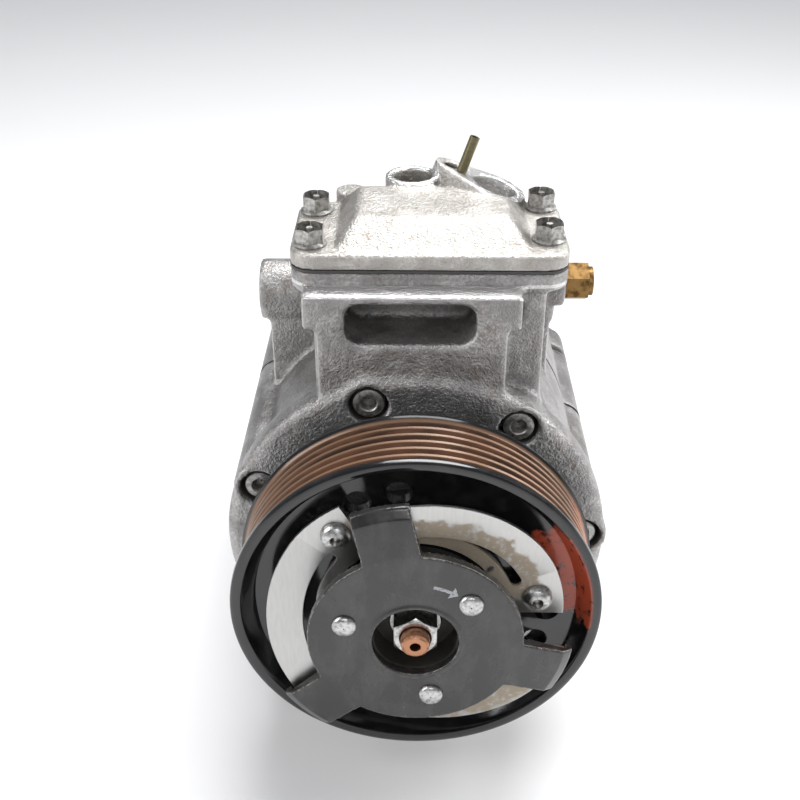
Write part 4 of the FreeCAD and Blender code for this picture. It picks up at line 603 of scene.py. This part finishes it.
# ---- Torque limiter --------------------------------------------------------------------
# A sheet-steel spring plate is screwed to the pulley's three posts; a black stamped plate
# with three stepped lobes is riveted over it to the hub and breaks away if the shaft jams.
spring_sheet = Finish("spring_sheet", (0.66, 0.65, 0.63), 1.0, 0.33)
brushed = spring_sheet.grain(0.9 * MM, detail=3.0, stretch=(1.0, 1.0, 7.0))
film_angle = spring_sheet.shaft_angle()
film_radius = spring_sheet.shaft_radius()
film_edge = spring_sheet.work("MULTIPLY_ADD", spring_sheet.grain(6 * MM), 9 * MM, film_radius)
upper_film = spring_sheet.work("MULTIPLY", spring_sheet.between(film_angle, 10.0, 122.0, 3.0),
                               spring_sheet.span(film_edge, 45.5 * MM, 43.5 * MM))
lower_film = spring_sheet.work("MULTIPLY", spring_sheet.between(film_angle, -140.0, -12.0, 3.0),
                               spring_sheet.span(film_edge, 50.5 * MM, 48.0 * MM))
film = spring_sheet.work("MAXIMUM", upper_film, lower_film)
film = spring_sheet.work("MULTIPLY", film, spring_sheet.span(spring_sheet.grain(2.2 * MM, 6.0),
                                                             0.30, 0.52))
bright = spring_sheet.mix((0.42, 0.415, 0.405), (0.56, 0.555, 0.54), brushed)
spring_sheet.colour(spring_sheet.mix(bright, (0.36, 0.29, 0.20),
                                     spring_sheet.work("MULTIPLY", film, 0.85)))
spring_sheet.metal(spring_sheet.blend(1.0, 0.25, film))
spring_sheet.rough(spring_sheet.blend(spring_sheet.blend(0.26, 0.4, brushed), 0.7, film))
spring_sheet.round_edges(0.35 * MM)
spring_sheet.bump(brushed, 0.03 * MM, 0.35)
coat(["leaf_spring_plate", "suction_reed_plate", "discharge_reed_plate", "destroke_spring",
      "return_spring", "relief_spring", "control_valve_spring"], spring_sheet)

limiter_paint = Finish("limiter_paint", (0.02, 0.02, 0.02), 0.0, 0.2, coat=0.25)
wear = limiter_paint.edge(0.45 * MM)
chips = limiter_paint.span(limiter_paint.grain(1.2 * MM, 5.0), 0.42, 0.6)
bare = limiter_paint.work("MULTIPLY", wear, chips)
smear = limiter_paint.grain(8 * MM, detail=5.0, stretch=(1.0, 1.0, 2.0))
black = limiter_paint.mix((0.016, 0.0155, 0.015), (0.042, 0.040, 0.037),
                          limiter_paint.span(smear, 0.38, 0.68))
turn_angle = limiter_paint.shaft_angle()
turn_radius = limiter_paint.shaft_radius()
arrow_tail = limiter_paint.work("MULTIPLY",
                                limiter_paint.between(turn_angle, 61.5, 76.5, 0.3),
                                limiter_paint.between(turn_radius, 21.4 * MM, 22.5 * MM,
                                                      0.12 * MM))
head_half = limiter_paint.work("MULTIPLY", limiter_paint.work("SUBTRACT", turn_angle, 56.0),
                               0.38 * MM)
head_off = limiter_paint.work("ABSOLUTE",
                              limiter_paint.work("SUBTRACT", turn_radius, 21.95 * MM))
arrow_head = limiter_paint.work("MULTIPLY",
                                limiter_paint.work("LESS_THAN", head_off, head_half),
                                limiter_paint.between(turn_angle, 56.0, 62.0, 0.2))
arrow = limiter_paint.work("MAXIMUM", arrow_tail, arrow_head)
arrow = limiter_paint.work("MULTIPLY", arrow,
                           limiter_paint.span(limiter_paint.along("Y"), -24.9 * MM, -25.2 * MM))
arrow = limiter_paint.work("MULTIPLY", arrow,
                           limiter_paint.span(limiter_paint.grain(0.5 * MM), 0.3, 0.5))
black = limiter_paint.mix(black, (0.45, 0.46, 0.48), limiter_paint.work("MULTIPLY", arrow, 0.8))
limiter_paint.colour(limiter_paint.mix(black, (0.62, 0.58, 0.50), bare))
limiter_paint.metal(limiter_paint.work("MULTIPLY", bare, 0.9))
limiter_paint.rough(limiter_paint.blend(limiter_paint.blend(0.16, 0.34, smear), 0.4, bare))


softened("limiter_stamping", "limiter_plate", 0.4 * MM, 3, 0.7, limiter_paint, "rotor")


# ---- Screws, rivets and hub nut --------------------------------------------------------
# Three button-head six-lobe screws hold the spring plate, three domed rivets the limiter
# plate, and a zinc-plated M8 nut with its washer the hub. All are bright plated steel.
plated = Finish("plated", (0.60, 0.60, 0.58), 1.0, 0.28)
plate_mottle = plated.grain(1.1 * MM, detail=5.0)
# Painted shade: an ambient occlusion mask darkens the crevices round the screw heads, rivets and
# nut to dark brown.
plated_crevice_shade = plated.work("MULTIPLY", plated.crevice(1.6 * MM), 0.8)
plate_colour = plated.mix((0.30, 0.295, 0.285), (0.58, 0.58, 0.57),
                          plated.span(plate_mottle, 0.32, 0.6))
plated.colour(plated.mix(plate_colour, (0.10, 0.085, 0.065), plated_crevice_shade))
plated.rough(plated.blend(0.2, 0.45, plate_mottle))
plated.bump(plated.grain(0.4 * MM, detail=3.0), 0.05 * MM, 0.5)

bolt_steel = Finish("bolt_steel", (0.30, 0.29, 0.27), 1.0, 0.45)
bolt_mottle = bolt_steel.grain(1.4 * MM, detail=5.0)
# Painted shade: an ambient occlusion mask darkens the bolts' crevices to dark brown and makes
# them less metallic.
bolt_crevice_shade = bolt_steel.work("MULTIPLY", bolt_steel.crevice(3 * MM), 0.7)
bolt_colour = bolt_steel.mix((0.24, 0.23, 0.215), (0.52, 0.51, 0.49),
                             bolt_steel.span(bolt_mottle, 0.34, 0.62))
bolt_steel.colour(bolt_steel.mix(bolt_colour, (0.07, 0.055, 0.04), bolt_crevice_shade))
bolt_steel.metal(bolt_steel.blend(0.95, 0.4, bolt_crevice_shade))
bolt_steel.rough(bolt_steel.blend(0.34, 0.6, bolt_mottle))
bolt_steel.bump(bolt_mottle, 0.12 * MM, 0.6)


def moved_copy(piece, offset):
    """A copy with its own mesh, shifted by millimetres."""
    clear_selection()
    twin = piece.copy()
    twin.data = piece.data.copy()
    bpy.context.scene.collection.objects.link(twin)
    twin.location = [part * MM for part in offset]
    bpy.context.view_layer.objects.active = twin
    twin.select_set(True)
    bpy.ops.object.transform_apply(location=True, rotation=True, scale=True)
    return twin


def on_places(first, places):
    """Repeats a piece modelled on the shaft at each (x, z), and joins the copies."""
    copies = [moved_copy(first, (x, 0, z)) for x, z in places]
    bpy.data.objects.remove(first)
    return join(copies)


SPRING_FACE = -11.6
star = shaft_rod(2.35, (0, 0), SPRING_FACE - 4, SPRING_FACE - 1.0, 12)
bpy.ops.object.mode_set(mode="OBJECT")
for vertex in star.data.vertices:
    vertex.select = False
for vertex in star.data.vertices:
    turn = math.degrees(math.atan2(vertex.co.z, vertex.co.x)) % 60.0
    vertex.select = 15.0 < turn < 45.0
bpy.ops.object.mode_set(mode="EDIT")
bpy.ops.mesh.select_mode(type="VERT")
bpy.ops.transform.resize(value=(0.74, 1, 0.74), center_override=(0, SPRING_FACE * MM, 0))
bpy.ops.object.mode_set(mode="OBJECT")
button = lathe("button_screw", [(0.4, SPRING_FACE - 3.05), (1.9, SPRING_FACE - 3.0),
                                (2.9, SPRING_FACE - 2.7), (3.9, SPRING_FACE - 2.1),
                                (4.5, SPRING_FACE - 1.3), (4.75, SPRING_FACE - 0.4),
                                (4.75, SPRING_FACE), (2.5, SPRING_FACE),
                                (2.5, SPRING_FACE + 11.0), (0.4, SPRING_FACE + 11.0)], 32)
core = shaft_rod(1.2, (0, 0), SPRING_FACE - 2.9, SPRING_FACE + 10.8, 16)
button = join([button, core])
clear_selection()
button.select_set(True)
bpy.context.view_layer.objects.active = button
close = button.modifiers.new("close", "REMESH")
close.mode = "VOXEL"
close.voxel_size = 0.16 * MM
bpy.ops.object.modifier_apply(modifier=close.name)
ease = button.modifiers.new("ease", "SMOOTH")
ease.iterations = 2
bpy.ops.object.modifier_apply(modifier=ease.name)
carve(button, star)
screws = on_places(button, [(x, z) for turn, x, z in on_circle(3, SCREW_FIRST, SCREW_RING)])
polish(screws, "limiter_screws", plated, "rotor", ["spring_screws"], limit=35.0)

PLATE_FACE = -25.4
FLANGE_BACK = -20.0
rivet = lathe("rivet", [(0.2, PLATE_FACE - 1.55), (1.8, PLATE_FACE - 1.5),
                        (2.9, PLATE_FACE - 1.3), (3.45, PLATE_FACE - 0.95),
                        (3.7, PLATE_FACE - 0.4), (3.75, PLATE_FACE), (2.6, PLATE_FACE),
                        (2.6, FLANGE_BACK), (3.75, FLANGE_BACK), (3.0, FLANGE_BACK + 1.1),
                        (0.2, FLANGE_BACK + 1.2)], 32)
rivets = on_places(rivet, [(x, z) for turn, x, z in on_circle(3, 42.9, 22.0)])
polish(rivets, "hub_rivet_set", plated, "rotor", ["hub_rivets"], limit=38.0)


def hexagon_bar(across, front, rear):
    """Six-sided bar along the shaft with a flat at each side."""
    bar = shaft_rod(across / math.sqrt(3), (0, 0), front, rear, 6)
    return bar


NUT_FRONT, NUT_REAR = -23.8, -16.5
nut = hexagon_bar(13.0, NUT_FRONT, NUT_REAR)
nut_round = lathe("nut_round", [(4.0, NUT_FRONT + 0.9), (4.9, NUT_FRONT), (6.3, NUT_FRONT),
                                (7.55, NUT_FRONT + 0.75), (7.55, NUT_REAR - 0.75),
                                (6.3, NUT_REAR), (4.0, NUT_REAR)], 64)
carve(nut, nut_round, "INTERSECT")
polish(nut, "hub_nut_hex", plated, "rotor", ["hub_nut"], 0.12 * MM, 28.0)
washer = lathe("washer", [(4.2, -16.5), (7.7, -16.5), (8.0, -16.2), (8.0, -14.9), (4.2, -14.9)],
               48)
polish(washer, "hub_washer_plain", plated, "rotor", ["hub_washer"], limit=40.0)

rusted = Finish("rusted", (0.42, 0.24, 0.15), 0.7, 0.5)
rust_spots = rusted.grain(1.3 * MM, detail=6.0)
bare_end = rusted.mix((0.26, 0.11, 0.055), (0.52, 0.27, 0.16), rusted.span(rust_spots, 0.35, 0.6))
deep = rusted.span(rusted.along("Y"), -23.5 * MM, -21.0 * MM)
rusted.colour(rusted.mix(bare_end, (0.34, 0.33, 0.32), deep))
rusted.rough(rusted.blend(0.35, 0.65, rust_spots))
rusted.bump(rust_spots, 0.08 * MM, 0.5)
thread = []
for turn in range(7):
    at = -23.2 + 1.25 * turn
    thread += [(4.0, at), (4.0, at + 0.16), (3.45, at + 0.58), (3.45, at + 0.72)]
tip = lathe("shaft_thread", [(0.3, -21.5), (1.9, -21.5), (1.9, -26.6), (2.3, -27.2),
                             (3.4, -27.4), (4.2, -26.9), (4.4, -26.2), (4.4, -24.0),
                             (3.9, -23.8)] + thread + [(3.9, -12.6), (0.3, -12.6)], 48)
polish(tip, "shaft_threaded_end", rusted, "rotor", [], limit=40.0)


# ---- Shaft and swash mechanism ---------------------------------------------------------
# Hardened shaft, iron lug plate and swash plate, inside the crank chamber. They are bare
# machined metal with a film of oil.
machined_iron = Finish("machined_iron", (0.24, 0.24, 0.24), 1.0, 0.38)
cutter_marks = machined_iron.grain(0.7 * MM, detail=3.0, stretch=(5.0, 0.6, 5.0))
bare_iron = machined_iron.mix((0.17, 0.17, 0.17), (0.36, 0.36, 0.355), cutter_marks)
outdoors = machined_iron.span(machined_iron.along("Y"), -21.0 * MM, -23.5 * MM)
machined_iron.colour(machined_iron.mix(bare_iron, (0.44, 0.22, 0.13), outdoors))
machined_iron.rough(machined_iron.blend(0.28, 0.48, cutter_marks))
machined_iron.round_edges(0.3 * MM)
coat(["drive_shaft", "lug_plate", "swash_plate"], machined_iron)

machined_alloy = Finish("machined_alloy", (0.66, 0.66, 0.66), 1.0, 0.3)
turning = machined_alloy.grain(0.6 * MM, detail=3.0, stretch=(6.0, 0.5, 6.0))
machined_alloy.colour(machined_alloy.mix((0.54, 0.54, 0.54), (0.74, 0.74, 0.74), turning))
machined_alloy.rough(machined_alloy.blend(0.24, 0.42, turning))
machined_alloy.round_edges(0.3 * MM)
coat([f"piston_{number}" for number in range(1, 8)], machined_alloy)

gasket_sheet = Finish("gasket_sheet", (0.05, 0.05, 0.05), 0.0, 0.6)
sheet_grain = gasket_sheet.grain(0.8 * MM)
gasket_sheet.colour(gasket_sheet.mix((0.035, 0.034, 0.032), (0.09, 0.086, 0.08), sheet_grain))
gasket_sheet.bump(sheet_grain, 0.05 * MM, 0.4)
coat(["block_gasket", "head_gasket", "cover_gasket"], gasket_sheet)


# ---- Housing bolts ---------------------------------------------------------------------
# Seven long socket-head bolts clamp the castings together. Their heads sit in pockets round
# the flange; the knurled heads are blackened steel gone grey.
HEAD_FRONT, HEAD_REAR = 23.5, 29.5
head = lathe("bolt_head", [(0.3, 26.6), (2.5, 26.6), (2.5, 23.9), (2.9, HEAD_FRONT),
                           (4.35, HEAD_FRONT), (4.85, 23.75), (5.0, 24.3), (5.0, HEAD_REAR),
                           (3.0, HEAD_REAR), (3.0, 149.5), (2.6, 150.0), (0.3, 150.0)], 36)
bolts = on_places(head, [(x, z) for turn, x, z in on_circle(7, 54.4, 55.0)])
polish(bolts, "through_bolts", bolt_steel, "housing", ["housing_bolts"],
       limit=35.0)


# ---- Cover bolts -----------------------------------------------------------------------
# Four flanged hexagon bolts hold the muffler cover; plated steel, stained by road dirt.
COVER_FACE = 99.3
COLLAR = 1.3
HEX = 4.6
hex_head = hexagon_bar(8.0, 0.0, COLLAR + HEX)
hex_round = lathe("hex_round", [(0.5, 0.3), (2.9, 0.3), (3.3, 0.0), (3.75, 0.0), (4.6, 0.55),
                                (4.62, COLLAR + HEX), (0.5, COLLAR + HEX)], 48)
hex_core = shaft_rod(1.0, (0, 0), 0.6, COLLAR + HEX, 12)
carve(hex_head, join([hex_round, hex_core]), "INTERSECT")
collar = lathe("collar", [(0.5, HEX - 0.1), (4.0, HEX - 0.1), (4.7, HEX + 0.35), (5.1, HEX + 0.8),
                          (5.1, HEX + COLLAR), (2.5, HEX + COLLAR), (2.5, HEX + COLLAR + 15.8),
                          (0.5, HEX + COLLAR + 15.8)], 40)
hex_bolt = join([collar, hex_head])
clear_selection()
hex_bolt.select_set(True)
bpy.context.view_layer.objects.active = hex_bolt
hex_bolt.location = (0, 0, (COVER_FACE + COLLAR + HEX) * MM)
hex_bolt.rotation_euler = (math.radians(-90), 0, 0)
bpy.ops.object.transform_apply(location=True, rotation=True, scale=True)
cover_places = [(-32.5, 40.0), (-32.5, 66.0), (39.6, 44.0), (39.6, 70.0)]
cover_set = []
for index, (x, y) in enumerate(cover_places):
    cover_set.append(moved_copy(hex_bolt, (x, y, 0)))
bpy.data.objects.remove(hex_bolt)
polish(join(cover_set), "cover_bolt_set", bolt_steel, "housing", ["cover_bolts"],
       limit=30.0)


# ---- Locating pin and relief valve -----------------------------------------------------
# A rolled steel spring pin locates the pipe clamp. A brass relief valve screws into the
# muffler's right wall; its hexagon and short collar show.
olive_steel = Finish("olive_steel", (0.20, 0.17, 0.09), 0.9, 0.42)
pin_film = olive_steel.grain(0.9 * MM, detail=4.0)
olive_steel.colour(olive_steel.mix((0.12, 0.10, 0.055), (0.30, 0.27, 0.16), pin_film))
olive_steel.rough(olive_steel.blend(0.3, 0.55, pin_film))
coat(["locating_pin"], olive_steel)

dull_brass = Finish("dull_brass", (0.55, 0.37, 0.15), 1.0, 0.36)
brass_patina = dull_brass.grain(2.2 * MM, detail=5.0)
brass_colour = dull_brass.mix((0.08, 0.045, 0.018), (0.27, 0.16, 0.06),
                              dull_brass.span(brass_patina, 0.32, 0.62))
dull_brass.colour(brass_colour)
dull_brass.rough(dull_brass.blend(0.28, 0.55, brass_patina))
dull_brass.round_edges(0.4 * MM)
dull_brass.bump(brass_patina, 0.06 * MM, 0.4)
coat(["relief_valve_body", "control_valve_body"], dull_brass)


# ---- Control valve ---------------------------------------------------------------------
# A solenoid valve in the rear head sets the crank-chamber pressure: a plated steel coil can
# with a moulded two-pin socket under it.
can_steel = Finish("can_steel", (0.55, 0.55, 0.52), 1.0, 0.34)
can_film = can_steel.grain(3 * MM, detail=4.0)
can_steel.colour(can_steel.mix((0.44, 0.43, 0.38), (0.64, 0.64, 0.60), can_film))
can_steel.rough(can_steel.blend(0.25, 0.45, can_film))
can_steel.round_edges(0.5 * MM)
coat(["control_valve_coil"], can_steel)

moulded = Finish("moulded_plastic", (0.02, 0.02, 0.022), 0.0, 0.42)
mould_grain = moulded.grain(0.35 * MM, detail=2.0)
moulded.colour(moulded.mix((0.014, 0.014, 0.015), (0.035, 0.035, 0.037), mould_grain))
moulded.rough(moulded.blend(0.36, 0.55, mould_grain))
moulded.round_edges(0.6 * MM)
moulded.bump(mould_grain, 0.03 * MM, 0.5)
coat(["control_valve_connector"], moulded)
